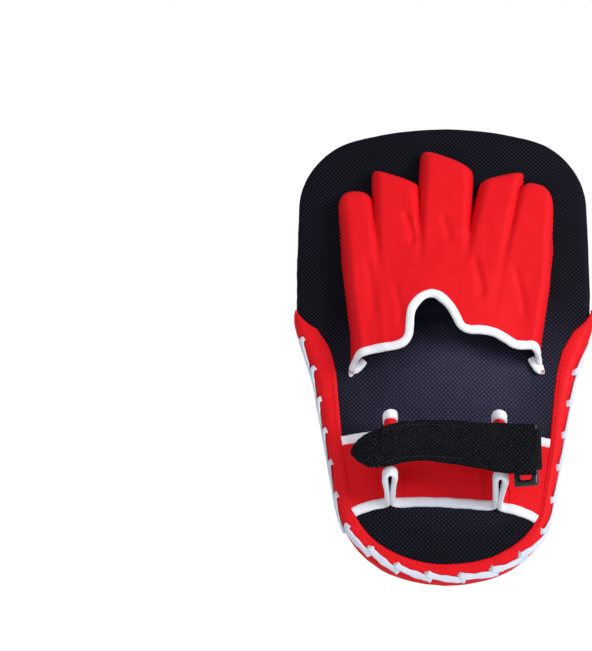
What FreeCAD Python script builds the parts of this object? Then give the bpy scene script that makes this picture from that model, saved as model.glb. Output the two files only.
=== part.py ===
import FreeCAD, Part
import math
import os
import re

import Sketcher

# A laced boxing focus mitt for the left hand, standing upright as it is held.
# +Z points to the fingertips, +X to the thumb side and +Y to the striking face.
# The origin is where the palm presses: the crown of the palm bolster on the back.
# "Depth" is measured from the flat back of the mitt towards the striking face.

V = FreeCAD.Vector
document = FreeCAD.newDocument("FocusMitt")
sheet = document.addObject("Spreadsheet::Sheet", "Dimensions")

# ---------------------------------------------------------------- dimensions

DIMENSIONS = {
    # the padded body, from the back outwards to the striking face
    "palm_rise": 12, "back_leather": 2, "rim_depth": 10, "gusset_depth": 38, "pad_depth": 50,
    "side_leather": 2.5, "face_leather": 2.5, "face_round": 9, "face_inside": 47.5, "foam_gap": 4,
    "board_inset": 9, "board_start": 2.6, "board_thickness": 4,
    "core_start": 7, "core_end": 28, "impact_start": 28.5, "impact_end": 46.5, "foam_round": 7,
    # corners of the outer outline at the laced rim
    "crown_x": 0, "crown_z": 175.6, "crown_radius": 225,
    "temple_x": 100, "temple_z": 149, "temple_radius": 54,
    "neck_x": 100, "neck_z": 22, "neck_radius": 35,
    "waist_x": 86, "waist_z": -12, "waist_radius": 100,
    "ankle_x": 62, "ankle_z": -133, "ankle_radius": 56,
    "heel_x": 0, "heel_z": -154, "heel_radius": 95,
    # the striking face is narrower than the rim below the neck
    "facewaist_x": 79.5, "facewaist_z": -14, "facewaist_radius": 100,
    "faceankle_x": 56, "faceankle_z": -127.5, "faceankle_radius": 48,
    "faceheel_x": 0, "faceheel_z": -147.5, "faceheel_radius": 84,
    # inner edge of the leather border on the back
    "horn_x": 112, "horn_z": 44,
    "flank_x": 75.5, "flank_z": 3, "flank_radius": 40,
    "corner_x": 53, "corner_z": -125, "corner_radius": 46,
    "floor_x": 0, "floor_z": -145, "floor_radius": 74,
    # lacing
    "lace_radius": 1.4, "lace_pitch": 21, "lace_hole": 1.9, "lace_top": 14,
    "border_hole_inset": 5, "rim_hole_depth": 7.6,
    # palm bolster under the bed
    "bolster_half_width": 56, "bolster_half_height": 34, "bolster_z": -8, "bolster_skin": 1.5,
    # glove
    "glove_leather": 1.8, "knuckle_z": 62, "wrist_opening_z": -18, "glove_x": 3,
    "knuckle_half_width": 70, "knuckle_height": 27, "opening_half_width": 63, "opening_height": 40,
    "stall_height": 24, "stall_tip": 17, "stall_root": 5, "stall_lift": 0.4,
    "binding_width": 5.5, "binding_stand": 0.9,
    # wrist band with its two standing pleats
    "band_leather": 2.2, "band_lift": 0.3, "band_peak": -44, "band_foot": -90.5, "band_sag": 16,
    "band_bow": 200, "band_reach": 80, "pleat_width": 11, "pleat_height": 40.2,
    "left_pleat_x": -35, "right_pleat_x": 34, "band_edge": 6, "edge_stand": 0.8,
    # strap, ring and fold
    "strap_width": 25.5, "strap_z": -71.5, "strap_thickness": 1.8, "strap_height": 41.3,
    "under_start": -43, "bar_x": 54, "bar_height": 45.6, "tab_bar_x": 44, "tab_bar_height": 37,
    "bar_radius": 2, "bar_clearance": 0.3, "ring_length": 38, "ring_drop": 1.6,
    "tab_width": 17, "tab_thickness": 1.4,
    "patch_thickness": 0.9, "patch_gap": 0.1, "patch_start": -36, "patch_end": 18,
    "fold_thickness": 0.8, "tail_start": 20, "tip_hinge_x": -41, "tip_length": 21, "tip_droop": 24,
    "tip_chamfer": 9, "tip_gap": 0.5,
}

FINGERS = {
    # name: centre at the knuckles, lean to the thumb side in degrees, reach above the knuckles, width
    "thumb": (57, 13, 59, 27),
    "index_finger": (29.5, 12, 71, 26),
    "middle_finger": (1.5, -3, 83, 27.5),
    "ring_finger": (-26.5, -6, 68, 26.5),
    "little_finger": (-53, -8, 52, 24.5),
}


def fill_sheet():
    """Write every driving dimension into the spreadsheet under its own alias."""
    values = dict(DIMENSIONS)
    for finger, (centre, lean, reach, width) in FINGERS.items():
        values[finger + "_x"] = centre
        values[finger + "_lean"] = lean
        values[finger + "_reach"] = reach
        values[finger + "_width"] = width
    for row, (alias, value) in enumerate(values.items(), start=1):
        sheet.set("A%d" % row, alias)
        sheet.set("B%d" % row, str(value))
        sheet.setAlias("B%d" % row, alias)
    document.recompute()
    return values


VALUES = fill_sheet()


def size(alias):
    """A driving dimension read back from the spreadsheet."""
    return float(sheet.get(alias))


def bind(item, path, rule):
    """Bind a property to a rule written with the aliases of the spreadsheet."""
    text = re.sub(r"[a-z_]+", lambda word: "Dimensions." + word[0] if word[0] in VALUES else word[0], rule)
    item.setExpression(path, text)


RIM_SAMPLES = 1600

# ---------------------------------------------------------------- building helpers

def outline(name, corners, depth):
    """A closed symmetric sketch through named corners, each rounded by its own radius."""
    sketch = document.addObject("Sketcher::SketchObject", name)
    sketch.Placement = FreeCAD.Placement(V(0, 0, 0), FreeCAD.Rotation(V(1, 0, 0), 90))
    bind(sketch, "Placement.Base.y", "palm_rise + " + depth)
    ring = [(corner, 1) for corner in corners]
    ring += [(corner, -1) for corner in reversed(corners) if size(corner + "_x") > 0]
    points = [V(side * size(corner + "_x"), size(corner + "_z"), 0) for corner, side in ring]
    count = len(points)
    for here in range(count):
        sketch.addGeometry(Part.LineSegment(points[here], points[(here + 1) % count]), False)
    for here in range(count):
        sketch.addConstraint(Sketcher.Constraint("Coincident", here, 2, (here + 1) % count, 1))
    for here, (corner, side) in enumerate(ring):
        across = Sketcher.Constraint("DistanceX", -1, 1, here, 1, points[here].x)
        bind(sketch, "Constraints[%d]" % sketch.addConstraint(across), "%d * %s_x" % (side, corner))
        up = Sketcher.Constraint("DistanceY", -1, 1, here, 1, points[here].y)
        bind(sketch, "Constraints[%d]" % sketch.addConstraint(up), corner + "_z")
    document.recompute()
    for here, (corner, side) in enumerate(ring):
        if corner + "_radius" not in VALUES:
            continue
        before = (points[here] + points[here - 1]) * 0.5
        after = (points[here] + points[(here + 1) % count]) * 0.5
        arc = sketch.GeometryCount
        sketch.fillet((here - 1) % count, here, before, after, size(corner + "_radius"), True, True)
        radius = sketch.addConstraint(Sketcher.Constraint("Radius", arc, size(corner + "_radius")))
        bind(sketch, "Constraints[%d]" % radius, corner + "_radius")
    document.recompute()
    return sketch


def polygon(name, points, plane="XZ"):
    """A closed sketch with straight sides; a third number rounds that corner."""
    sketch = document.addObject("Sketcher::SketchObject", name)
    if plane == "XZ":
        sketch.Placement = FreeCAD.Placement(V(0, 0, 0), FreeCAD.Rotation(V(1, 0, 0), 90))
    flat = [V(point[0], point[1], 0) for point in points]
    count = len(flat)
    for here in range(count):
        sketch.addGeometry(Part.LineSegment(flat[here], flat[(here + 1) % count]), False)
    for here in range(count):
        sketch.addConstraint(Sketcher.Constraint("Coincident", here, 2, (here + 1) % count, 1))
    for here, point in enumerate(points):
        if len(point) == 3:
            before = (flat[here] + flat[here - 1]) * 0.5
            after = (flat[here] + flat[(here + 1) % count]) * 0.5
            sketch.fillet((here - 1) % count, here, before, after, point[2], True, True)
    document.recompute()
    return sketch


def inset(name, source, rule):
    """The same outline moved inwards (negative) or outwards."""
    moved = document.addObject("Part::Offset2D", name)
    moved.Source = source
    bind(moved, "Value", rule)
    return moved


def extrude(name, profile, direction, start, end):
    """Extrude a profile along a direction, from one distance to another."""
    solid = document.addObject("Part::Extrusion", name)
    solid.Base = profile
    solid.DirMode = "Custom"
    solid.Dir = direction
    solid.Solid = True
    bind(solid, "LengthFwd", end)
    bind(solid, "LengthRev", "-(%s)" % start)
    return solid


def slab(name, profile, start, end):
    """A layer of the pad between two depths, from an outline drawn at depth 0."""
    return extrude(name, profile, V(0, 1, 0), start, end)


def loft(name, sections):
    """A ruled solid between two closed profiles."""
    solid = document.addObject("Part::Loft", name)
    solid.Sections = sections
    solid.Solid = True
    solid.Ruled = True
    return solid


def cut(name, base, tool):
    """What is left of one shape outside another."""
    result = document.addObject("Part::Cut", name)
    result.Base = base
    result.Tool = tool
    return result


def common(name, base, tool):
    """What two shapes share."""
    result = document.addObject("Part::Common", name)
    result.Base = base
    result.Tool = tool
    return result


def fuse(name, shapes):
    """Several shapes made one."""
    result = document.addObject("Part::MultiFuse", name)
    result.Shapes = shapes
    return result


def box(name, lengths, corner):
    """A box with bound side lengths (x, y, z) and a bound lowest corner."""
    block = document.addObject("Part::Box", name)
    for side, rule in zip(("Length", "Width", "Height"), lengths):
        bind(block, side, rule)
    for axis, rule in zip("xyz", corner):
        bind(block, "Placement.Base." + axis, rule)
    return block


def rod(name, radius, length, corner):
    """An upright cylinder along Z with a bound radius, length and foot."""
    cylinder = document.addObject("Part::Cylinder", name)
    bind(cylinder, "Radius", radius)
    bind(cylinder, "Height", length)
    for axis, rule in zip("xyz", corner):
        bind(cylinder, "Placement.Base." + axis, rule)
    return cylinder


def rounded(name, base, depth, radius):
    """Round the edges of a solid that lie in the plane at one depth."""
    document.recompute()
    level = size("palm_rise") + size(depth)
    edges = []
    for number, edge in enumerate(base.Shape.Edges, start=1):
        if all(abs(vertex.Point.y - level) < 0.01 for vertex in edge.Vertexes):
            edges.append((number, size(radius), size(radius)))
    result = document.addObject("Part::Fillet", name)
    result.Base = base
    result.Edges = edges
    return result


# ---------------------------------------------------------------- outlines

RIM = ("crown", "temple", "neck", "waist", "ankle", "heel")
FACE = ("crown", "temple", "neck", "facewaist", "faceankle", "faceheel")
BORDER = ("horn", "flank", "corner", "floor")

rim_outline = outline("RimOutline", RIM, "0")
rim_top = outline("RimTop", RIM, "rim_depth")
face_outline = outline("FaceOutline", FACE, "0")
face_bottom = outline("FaceBottom", FACE, "gusset_depth")
border_outline = outline("BorderOutline", BORDER, "0")


# ---------------------------------------------------------------- padded body

def head_zone(name):
    """The part of the rim above the necks, which the back panel wraps."""
    return box(name, ("3 * neck_x", "2 * rim_depth", "2 * crown_z"),
               ("-1.5 * neck_x", "palm_rise + back_leather", "lace_top"))


def rim_ring(name):
    """The upright leather rim between the back and the gusset, all the way round."""
    outer = slab(name + "Outer", rim_outline, "back_leather", "rim_depth")
    inner = slab(name + "Inner", inset(name + "Inset", rim_outline, "-side_leather"), "0", "pad_depth")
    return cut(name, outer, inner)


def make_back_panel():
    """Black panel over the whole back inside the border, turned over the rim at the head."""
    plate = slab("PanelPlate", rim_outline, "0", "back_leather")
    bed = slab("PanelBed", border_outline, "-1", "pad_depth")
    head = box("PanelHead", ("3 * neck_x", "pad_depth", "2 * crown_z"),
               ("-1.5 * neck_x", "palm_rise - 1", "horn_z"))
    face = common("PanelFace", plate, fuse("PanelWindow", [bed, head]))
    turned = common("PanelTurned", rim_ring("PanelRim"), head_zone("PanelHeadZone"))
    return fuse("back_panel", [face, turned])


def make_back_border(holes):
    """Red leather border round the lower body, ending in a point at each neck."""
    plate = slab("BorderPlate", rim_outline, "0", "back_leather")
    bed = slab("BorderBed", border_outline, "-1", "pad_depth")
    head = box("BorderHead", ("3 * neck_x", "pad_depth", "2 * crown_z"),
               ("-1.5 * neck_x", "palm_rise - 1", "horn_z"))
    border = cut("BorderWhole", plate, fuse("BorderWindow", [bed, head]))
    return cut("back_border", border, holes)


def make_edge_band(holes):
    """Red leather band that the lacing draws to the border, round the lower body."""
    lower = cut("EdgeBandLower", rim_ring("EdgeBandRim"), head_zone("EdgeBandHead"))
    return cut("edge_band", lower, holes)


def make_side_gusset():
    """Black side wall that leans in from the rim to the narrower striking face."""
    outer = loft("GussetOuter", [rim_top, face_bottom])
    inner = loft("GussetInner", [inset("GussetInsetBack", rim_top, "-side_leather"),
                                 inset("GussetInsetFace", face_bottom, "-side_leather")])
    return cut("side_gusset", outer, inner)


def make_striking_face():
    """Red leather face, a shallow tray with a rounded edge, open towards the foam."""
    outer = rounded("FaceOuter", slab("FaceBlock", face_outline, "gusset_depth", "pad_depth"),
                    "pad_depth", "face_round")
    hollow_block = slab("FaceHollowBlock", inset("FaceInset", face_outline, "-face_leather"),
                        "gusset_depth", "face_inside")
    return cut("striking_face", outer, rounded("FaceHollow", hollow_block, "face_inside", "foam_round"))


def make_core():
    """The stiff board and the two foam layers inside the leather."""
    board = slab("backing_board", inset("BoardInset", rim_outline, "-board_inset"),
                 "board_start", "board_start + board_thickness")
    foam_outline = inset("FoamInset", face_outline, "-foam_gap")
    core = slab("core_foam", foam_outline, "core_start", "core_end")
    impact_block = slab("ImpactBlock", foam_outline, "impact_start", "impact_end")
    impact = rounded("impact_foam", impact_block, "impact_end", "foam_round")
    return [board, core, impact]


# ---------------------------------------------------------------- lacing

def rim_run():
    """Points along the rim below the necks with the length run so far, and that whole length."""
    wire = rim_outline.Shape.Wires[0]
    points = wire.discretize(Number=RIM_SAMPLES)[:-1]
    top = max(range(len(points)), key=lambda here: points[here].z)
    points = points[top:] + points[:top]
    points = [point for point in points if point.z < size("lace_top")]
    if points[0].x > 0:
        points.reverse()
    lengths = [0.0]
    for here in range(1, len(points)):
        lengths.append(lengths[-1] + points[here].distanceToPoint(points[here - 1]))
    return points, lengths


def rim_frame(run, along):
    """The rim point a length along the run, and the direction straight out from it."""
    points, lengths = run
    here = max(1, sum(1 for length in lengths if length < along))
    here = min(here, len(points) - 1)
    share = (along - lengths[here - 1]) / (lengths[here] - lengths[here - 1])
    point = points[here - 1] + (points[here] - points[here - 1]) * share
    ahead = (points[here] - points[here - 1]).normalize()
    out = V(ahead.z, 0, -ahead.x)
    if out.dot(point - V(0, point.y, 0)) < 0:
        out = out * -1
    return point, out


def lace_place(run, along, outwards, depth):
    """A place near the rim: along it, outwards from it and at a depth."""
    point, out = rim_frame(run, along)
    place = point + out * outwards
    return V(place.x, size("palm_rise") + depth, place.z)


# One turn of the lace: share of the pitch, distance out from the rim, depth.
# It comes up through the border, goes over the edge and slants down to the rim.
LACE_TURN = (
    (0.00, -4.0, 7.0),
    (0.05, -5.0, 4.2),
    (0.09, -5.0, 0.6),
    (0.14, -4.0, -1.7),
    (0.22, -1.0, -2.1),
    (0.31, 1.7, -0.8),
    (0.44, 2.0, 2.0),
    (0.80, 2.0, 6.4),
    (0.92, 0.9, 7.6),
)


def lace_turns(run):
    """Where each turn of the lace starts along the rim."""
    whole = run[1][-1]
    count = int(whole / size("lace_pitch"))
    pitch = whole / count
    return [turn * pitch for turn in range(count)], pitch


def make_lacing():
    """One white lace that whips the border to the edge band, from neck to neck."""
    run = rim_run()
    starts, pitch = lace_turns(run)
    route = []
    for start in starts:
        for share, outwards, depth in LACE_TURN:
            route.append(lace_place(run, start + share * pitch, outwards, depth))
    curve = Part.BSplineCurve()
    curve.interpolate(Points=route)
    ends = [curve.parameter(place) for place in route[::len(LACE_TURN)]] + [curve.LastParameter]
    turns = []
    for first, last in zip(ends, ends[1:]):
        circle = Part.makeCircle(size("lace_radius"), curve.value(first), curve.tangent(first)[0])
        spine = Part.Wire([curve.toShape(first, last)])
        turns.append(spine.makePipeShell([Part.Wire([circle])], True, True))
    lacing = document.addObject("Part::Feature", "lacing")
    lacing.Shape = turns[0].multiFuse(turns[1:])
    return lacing


def make_lace_holes():
    """The holes that the lace goes through, in the border and in the edge band."""
    run = rim_run()
    starts, pitch = lace_turns(run)
    radius = size("lace_hole")
    border = []
    rim = []
    for start in starts:
        through = lace_place(run, start + 0.07 * pitch, -size("border_hole_inset"), -2)
        border.append(Part.makeCylinder(radius, 3 * size("back_leather"), through, V(0, 1, 0)))
        along = start + 0.95 * pitch
        out = rim_frame(run, along)[1]
        inside = lace_place(run, along, -2 * size("side_leather"), size("rim_hole_depth"))
        rim.append(Part.makeCylinder(radius, 4 * size("side_leather"), inside, out))
    holes = []
    for name, drills in (("BorderHoles", border), ("RimHoles", rim)):
        group = document.addObject("Part::Feature", name)
        group.Shape = Part.makeCompound(drills)
        holes.append(group)
    return holes


# ---------------------------------------------------------------- palm bolster

def bolster_dome(name, skin):
    """Half an egg shape standing out of the back, as deep as the palm rise less a skin."""
    egg = document.addObject("Part::Ellipsoid", name + "Egg")
    bind(egg, "Radius1", "bolster_half_height - " + skin)
    bind(egg, "Radius2", "bolster_half_width - " + skin)
    bind(egg, "Radius3", "palm_rise - " + skin)
    egg.Angle1 = -90
    bind(egg, "Placement.Base.x", "glove_x")
    bind(egg, "Placement.Base.y", "palm_rise")
    bind(egg, "Placement.Base.z", "bolster_z")
    outside = box(name + "Outside", ("4 * bolster_half_width", "2 * palm_rise", "4 * bolster_half_height"),
                  ("-2 * bolster_half_width", "-palm_rise - 0.2", "bolster_z - 2 * bolster_half_height"))
    return common(name, egg, outside)


def make_palm_bolster():
    """The padded rise that the palm presses on: its black cover and its foam."""
    foam = bolster_dome("palm_bolster_foam", "bolster_skin - 0.1")
    cover = cut("palm_bolster_cover", bolster_dome("BolsterOuter", "0"),
                bolster_dome("BolsterInner", "bolster_skin"))
    return [cover, foam]


# ---------------------------------------------------------------- glove

def ellipse(name, half_width, height, level):
    """A flat ellipse across the mitt at one level, centred on the back."""
    ring = document.addObject("Part::Ellipse", name)
    bind(ring, "MajorRadius", half_width)
    bind(ring, "MinorRadius", height)
    bind(ring, "Placement.Base.x", "glove_x")
    bind(ring, "Placement.Base.y", "palm_rise")
    bind(ring, "Placement.Base.z", level)
    return ring


def hand_arch(name, grow):
    """A solid arch from the wrist opening to the knuckles, grown by a thickness."""
    low = ellipse(name + "Low", "opening_half_width + " + grow, "opening_height + " + grow,
                  "wrist_opening_z")
    high = ellipse(name + "High", "knuckle_half_width + " + grow, "knuckle_height + " + grow, "knuckle_z")
    return loft(name, [low, high])


def behind_back(name):
    """The space on the hand side of the back panel."""
    return box(name, ("4 * neck_x", "4 * opening_height", "4 * crown_z"),
               ("-2 * neck_x", "palm_rise - 4 * opening_height - 0.3", "-2 * crown_z"))


# The edge of the glove at the wrist: low at the sides, a notch up the middle.
NOTCH = (
    (-90, -15),
    (-60, -10, 12),
    (-52, -1, 10),
    (-24, 3, 6),
    (-24, 29, 8),
    (-10, 43, 9),
    (12, 12, 5),
    (33, 12, 12),
    (47, 3, 12),
    (64, -8, 10),
    (90, -12),
    (90, -60),
    (-90, -60),
)


def make_hand_cover():
    """Leather over the back of the hand, and the white binding round its wrist edge."""
    notch = polygon("Notch", NOTCH)
    below_edge = extrude("BelowEdge", notch, V(0, 1, 0), "-2 * opening_height", "2 * palm_rise")
    below_binding = extrude("BelowBinding", inset("BindingOffset", notch, "binding_width"), V(0, 1, 0),
                            "-2 * opening_height", "2 * palm_rise")
    arch = common("ArchShell", cut("ArchWall", hand_arch("ArchOuter", "0"),
                                   hand_arch("ArchInner", "-glove_leather")), behind_back("ArchBehind"))
    cover = cut("hand_cover", arch, below_binding)
    wide = cut("BindingWall", hand_arch("BindingOuter", "binding_stand"),
               hand_arch("BindingInner", "-glove_leather - binding_stand"))
    edge = common("BindingShell", common("BindingRun", wide, below_binding), behind_back("BindingBehind"))
    return [cover, cut("glove_binding", edge, below_edge)]


def stall_form(name, finger, skin):
    """A finger form: an elliptic run along +Z, rooted below its origin, with a rounded tip."""
    ring = document.addObject("Part::Ellipse", name + "Ring")
    ring.Placement.Rotation = FreeCAD.Rotation(V(0, 0, 1), 90)
    bind(ring, "MajorRadius", "stall_height - " + skin)
    bind(ring, "MinorRadius", "%s_width / 2 - %s" % (finger, skin))
    run = extrude(name + "Run", ring, V(0, 0, 1), "-stall_root", finger + "_reach - stall_tip")
    tip = document.addObject("Part::Ellipsoid", name + "Tip")
    tip.Angle1 = -90
    bind(tip, "Radius1", "stall_tip - " + skin)
    bind(tip, "Radius2", "%s_width / 2 - %s" % (finger, skin))
    bind(tip, "Radius3", "stall_height - " + skin)
    bind(tip, "Placement.Base.z", finger + "_reach - stall_tip")
    return fuse(name, [run, tip])


def make_stall(finger, node):
    """One leather finger stall, hollow, closed at the tip and flat against the back."""
    shell = cut(node + "Shell", stall_form(node + "Outer", finger, "0"),
                stall_form(node + "Inner", finger, "glove_leather"))
    shell.Placement.Rotation = FreeCAD.Rotation(V(0, 1, 0), size(finger + "_lean"))
    bind(shell, "Placement.Base.x", finger + "_x")
    bind(shell, "Placement.Base.y", "palm_rise")
    bind(shell, "Placement.Base.z", "knuckle_z")
    above_knuckles = box(node + "Space", ("4 * neck_x", "4 * opening_height", "4 * crown_z"),
                         ("-2 * neck_x", "palm_rise - 4 * opening_height - 0.3",
                          "knuckle_z + stall_lift"))
    return common(node, shell, above_knuckles)


# ---------------------------------------------------------------- wrist band

def band_form(name, grow):
    """The band's whole run: flat on the bed with two hollow pleats standing up."""
    top = "palm_rise - band_lift"
    leaf = "band_leather + 2 * " + grow
    flat = box(name + "Flat", ("2 * band_reach", leaf, "4 * band_reach"),
               ("-band_reach", "%s - (%s)" % (top, leaf), "-3 * band_reach"))
    crest = "palm_rise - pleat_height + pleat_width / 2"
    forms = (("Wall", "pleat_width / 2 + " + grow, "palm_rise - band_lift"),
             ("Hollow", "pleat_width / 2 - (band_leather + %s)" % grow, "palm_rise + 1"))
    parts = {"Wall": [flat], "Hollow": []}
    for side in ("left_pleat_x", "right_pleat_x"):
        for kind, radius, foot in forms:
            stem = box(name + side + kind, ("2 * (%s)" % radius, "%s - (%s)" % (foot, crest),
                                            "4 * band_reach"),
                       ("%s - (%s)" % (side, radius), crest, "-3 * band_reach"))
            cap = rod(name + side + kind + "Cap", radius, "4 * band_reach",
                      (side, crest, "-3 * band_reach"))
            parts[kind] += [stem, cap]
    return cut(name, fuse(name + "Solid", parts["Wall"]), fuse(name + "Open", parts["Hollow"]))


def band_strip(name, peak, foot):
    """A bowed strip across the bed, between two heights on the centre line."""
    reach = size("band_reach")
    sag = size("band_sag")
    bow = size("band_bow")
    high = size("band_peak") + peak
    low = size("band_foot") + foot
    corners = [(-reach, high - sag), (0, high, bow), (reach, high - sag),
               (reach, low - sag), (0, low, bow), (-reach, low - sag)]
    strip = extrude(name + "Strip", polygon(name + "Shape", corners), V(0, 1, 0),
                    "-2 * pleat_height", "2 * palm_rise")
    bed = slab(name + "Bed", inset(name + "BedInset", border_outline, "-band_lift"),
               "-2 * pleat_height", "back_leather")
    return common(name, strip, bed)


def make_wrist_band():
    """The red leather band across the wrist and the white binding on both its edges."""
    edge = size("band_edge")
    band = common("wrist_band", band_form("BandLeather", "0"), band_strip("BandMiddle", -edge, edge))
    upper = common("wrist_binding_upper", band_form("BandUpper", "edge_stand"),
                   band_strip("BandTop", 0, size("band_peak") - size("band_foot") - edge))
    lower = common("wrist_binding_lower", band_form("BandLower", "edge_stand"),
                   band_strip("BandBottom", size("band_foot") - size("band_peak") + edge, 0))
    return [band, upper, lower]


# ---------------------------------------------------------------- strap and ring

def strap_box(name, start, end, low, high, width="strap_width"):
    """A flat length of strap between two x positions and two heights off the origin."""
    return box(name, ("%s - (%s)" % (end, start), "%s - (%s)" % (high, low), width),
               (start, "palm_rise - (%s)" % high, "strap_z - %s / 2" % width))


def make_strap_under():
    """The strap's under layer, sewn to the left pleat, and the loop patch on it."""
    under = strap_box("strap_under_layer", "under_start", "bar_x", "strap_height",
                      "strap_height + strap_thickness")
    loops = strap_box("loop_patch", "patch_start", "patch_end",
                      "strap_height + strap_thickness + patch_gap",
                      "strap_height + strap_thickness + patch_gap + patch_thickness", "(strap_width - 3)")
    return [under, loops]


def strap_sketch(name, points):
    """A profile of the strap seen along its width, extruded over the strap's width."""
    profile = polygon(name + "Profile", points, plane="XY")
    return extrude(name, profile, V(0, 0, 1), "strap_z - strap_width / 2", "strap_z + strap_width / 2")


def make_tail():
    """The folded-back tail over the wrist, and the hook patch under it."""
    thick = size("strap_thickness")
    rest = tail_rest()
    start = size("bar_x") - 2 * size("bar_radius") - 0.5
    end = size("tip_hinge_x") + size("tip_gap")
    bend = size("tail_start")
    raised = size("palm_rise") - size("bar_height") - size("bar_radius") - size("bar_clearance")
    tail = strap_sketch("strap_tail", [(start, raised), (bend, rest), (end, rest), (end, rest - thick),
                                       (bend, rest - thick), (start, raised - thick)])
    hooks = strap_box("hook_patch", "patch_start", "patch_end",
                      "strap_height + strap_thickness + 2 * patch_gap + patch_thickness",
                      "strap_height + strap_thickness + patch_gap + 2 * patch_thickness",
                      "(strap_width - 3)")
    return [tail, hooks]


def tail_rest():
    """How far the tail's inner face stands from the origin, on top of the two patches."""
    under = size("strap_height") + size("strap_thickness")
    patches = 2 * (size("patch_thickness") + size("patch_gap")) + 2 * size("patch_gap")
    return size("palm_rise") - under - patches


def make_tip():
    """The strap's drooping end, with its corners cut off, bent down from the tail."""
    half = size("strap_thickness") / 2
    end = -size("tip_length")
    gap = size("tip_gap")
    flat = strap_sketch("TipFlat", [(end, half), (-gap, half), (-gap, -half), (end, -half)])
    low = size("strap_z") - size("strap_width") / 2
    high = size("strap_z") + size("strap_width") / 2
    chamfer = size("tip_chamfer")
    shape = polygon("TipShape", [(end, low + chamfer), (end + chamfer, low), (chamfer, low),
                                 (chamfer, high), (end + chamfer, high), (end, high - chamfer)])
    pointed = extrude("TipOutline", shape, V(0, 1, 0), "-strap_width", "strap_width")
    tip = common("strap_tip", flat, pointed)
    tip.Placement = FreeCAD.Placement(V(0, tail_rest() - half, 0),
                                      FreeCAD.Rotation(V(0, 0, 1), -size("tip_droop")))
    bind(tip, "Placement.Base.x", "tip_hinge_x")
    return [tip]


def make_fold():
    """The short turn of strap round the ring's outer bar."""
    shapes = []
    for name, radius in (("FoldOuter", "bar_radius + bar_clearance + fold_thickness"),
                         ("FoldInner", "bar_radius + bar_clearance")):
        shapes.append(rod(name, radius, "strap_width",
                          ("bar_x", "palm_rise - bar_height", "strap_z - strap_width / 2")))
    right = box("FoldSide", ("strap_width", "strap_width", "strap_width"),
                ("bar_x + 0.2", "palm_rise - bar_height - strap_width / 2", "strap_z - strap_width / 2"))
    return common("strap_fold", cut("FoldTurn", shapes[0], shapes[1]), right)


def make_ring_tab():
    """The webbing loop that holds the ring to the side of the right pleat."""
    radius = "bar_radius + bar_clearance"
    wall = "right_pleat_x + pleat_width / 2 + 0.3"
    foot = "strap_z - tab_width / 2"
    solids = []
    for name, spread in (("TabOuter", radius + " + tab_thickness"), ("TabInner", radius)):
        start = wall if name == "TabOuter" else wall + " - 1"
        legs = box(name + "Legs", ("tab_bar_x - (%s)" % start, "2 * (%s)" % spread, "tab_width"),
                   (start, "palm_rise - tab_bar_height - (%s)" % spread, foot))
        turn = rod(name + "Turn", spread, "tab_width", ("tab_bar_x", "palm_rise - tab_bar_height", foot))
        solids.append(fuse(name, [legs, turn]))
    return cut("ring_tab", solids[0], solids[1])


def make_ring():
    """The moulded ring: one bar in the tab, the other in the strap's fold."""
    across = size("bar_x") - size("tab_bar_x")
    rise = size("bar_height") - size("tab_bar_height")
    spacing = math.hypot(across, rise)
    radius = size("bar_radius")
    half = size("ring_length") / 2
    body = document.addObject("PartDesign::Body", "strap_ring")
    plane = [item for item in body.Origin.OriginFeatures if item.Role == "XZ_Plane"][0]
    sketch = body.newObject("Sketcher::SketchObject", "RingSketch")
    sketch.AttachmentSupport = [(plane, "")]
    sketch.MapMode = "FlatFace"
    for grow in (radius, -radius):
        corners = [V(-grow, -half + radius - grow, 0), V(spacing + grow, -half + radius - grow, 0),
                   V(spacing + grow, half - radius + grow, 0), V(-grow, half - radius + grow, 0)]
        for here in range(4):
            sketch.addGeometry(Part.LineSegment(corners[here], corners[(here + 1) % 4]), False)
    pad = body.newObject("PartDesign::Pad", "RingPad")
    pad.Profile = sketch
    pad.Midplane = True
    bind(pad, "Length", "2 * bar_radius")
    document.recompute()
    rounding = body.newObject("PartDesign::Fillet", "RingRounding")
    rounding.Base = (pad, ["Edge%d" % number for number in range(1, len(pad.Shape.Edges) + 1)])
    bind(rounding, "Radius", "bar_radius * 0.85")
    body.Tip = rounding
    body.Placement.Rotation = FreeCAD.Rotation(V(0, 0, 1), -math.degrees(math.atan2(rise, across)))
    bind(body, "Placement.Base.x", "tab_bar_x")
    bind(body, "Placement.Base.y", "palm_rise - tab_bar_height")
    bind(body, "Placement.Base.z", "strap_z - ring_drop")
    return body


# ---------------------------------------------------------------- assembly

def build():
    """Every sub-part of the mitt, in the order it would be made."""
    border_holes, rim_holes = make_lace_holes()
    parts = make_core()
    parts += [make_striking_face(), make_side_gusset(), make_edge_band(rim_holes)]
    parts += [make_back_panel(), make_back_border(border_holes), make_lacing()]
    parts += make_palm_bolster() + make_hand_cover()
    parts += [make_stall(finger, finger + "_stall") for finger in FINGERS]
    parts += make_wrist_band() + make_strap_under() + make_tail() + make_tip()
    parts += [make_fold(), make_ring_tab(), make_ring()]
    return parts


def check(part):
    """Stop if a sub-part failed to build."""
    if "Invalid" in part.State or "Error" in part.State:
        raise RuntimeError("%s: %s" % (part.Label, part.State))
    if part.Shape.isNull() or not part.Shape.isValid() or not part.Shape.Solids:
        raise RuntimeError("%s has no sound solid" % part.Label)


parts = build()
document.recompute()
os.makedirs("parts", exist_ok=True)
for part in parts:
    check(part)
    part.Shape.exportStep("parts/%s.step" % part.Label)
    print("%-22s %7.1f cm3  %d solids" % (part.Label, part.Shape.Volume / 1000, len(part.Shape.Solids)))
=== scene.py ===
import math

import bpy
import numpy as np
from mathutils import Matrix, Vector, noise


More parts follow.
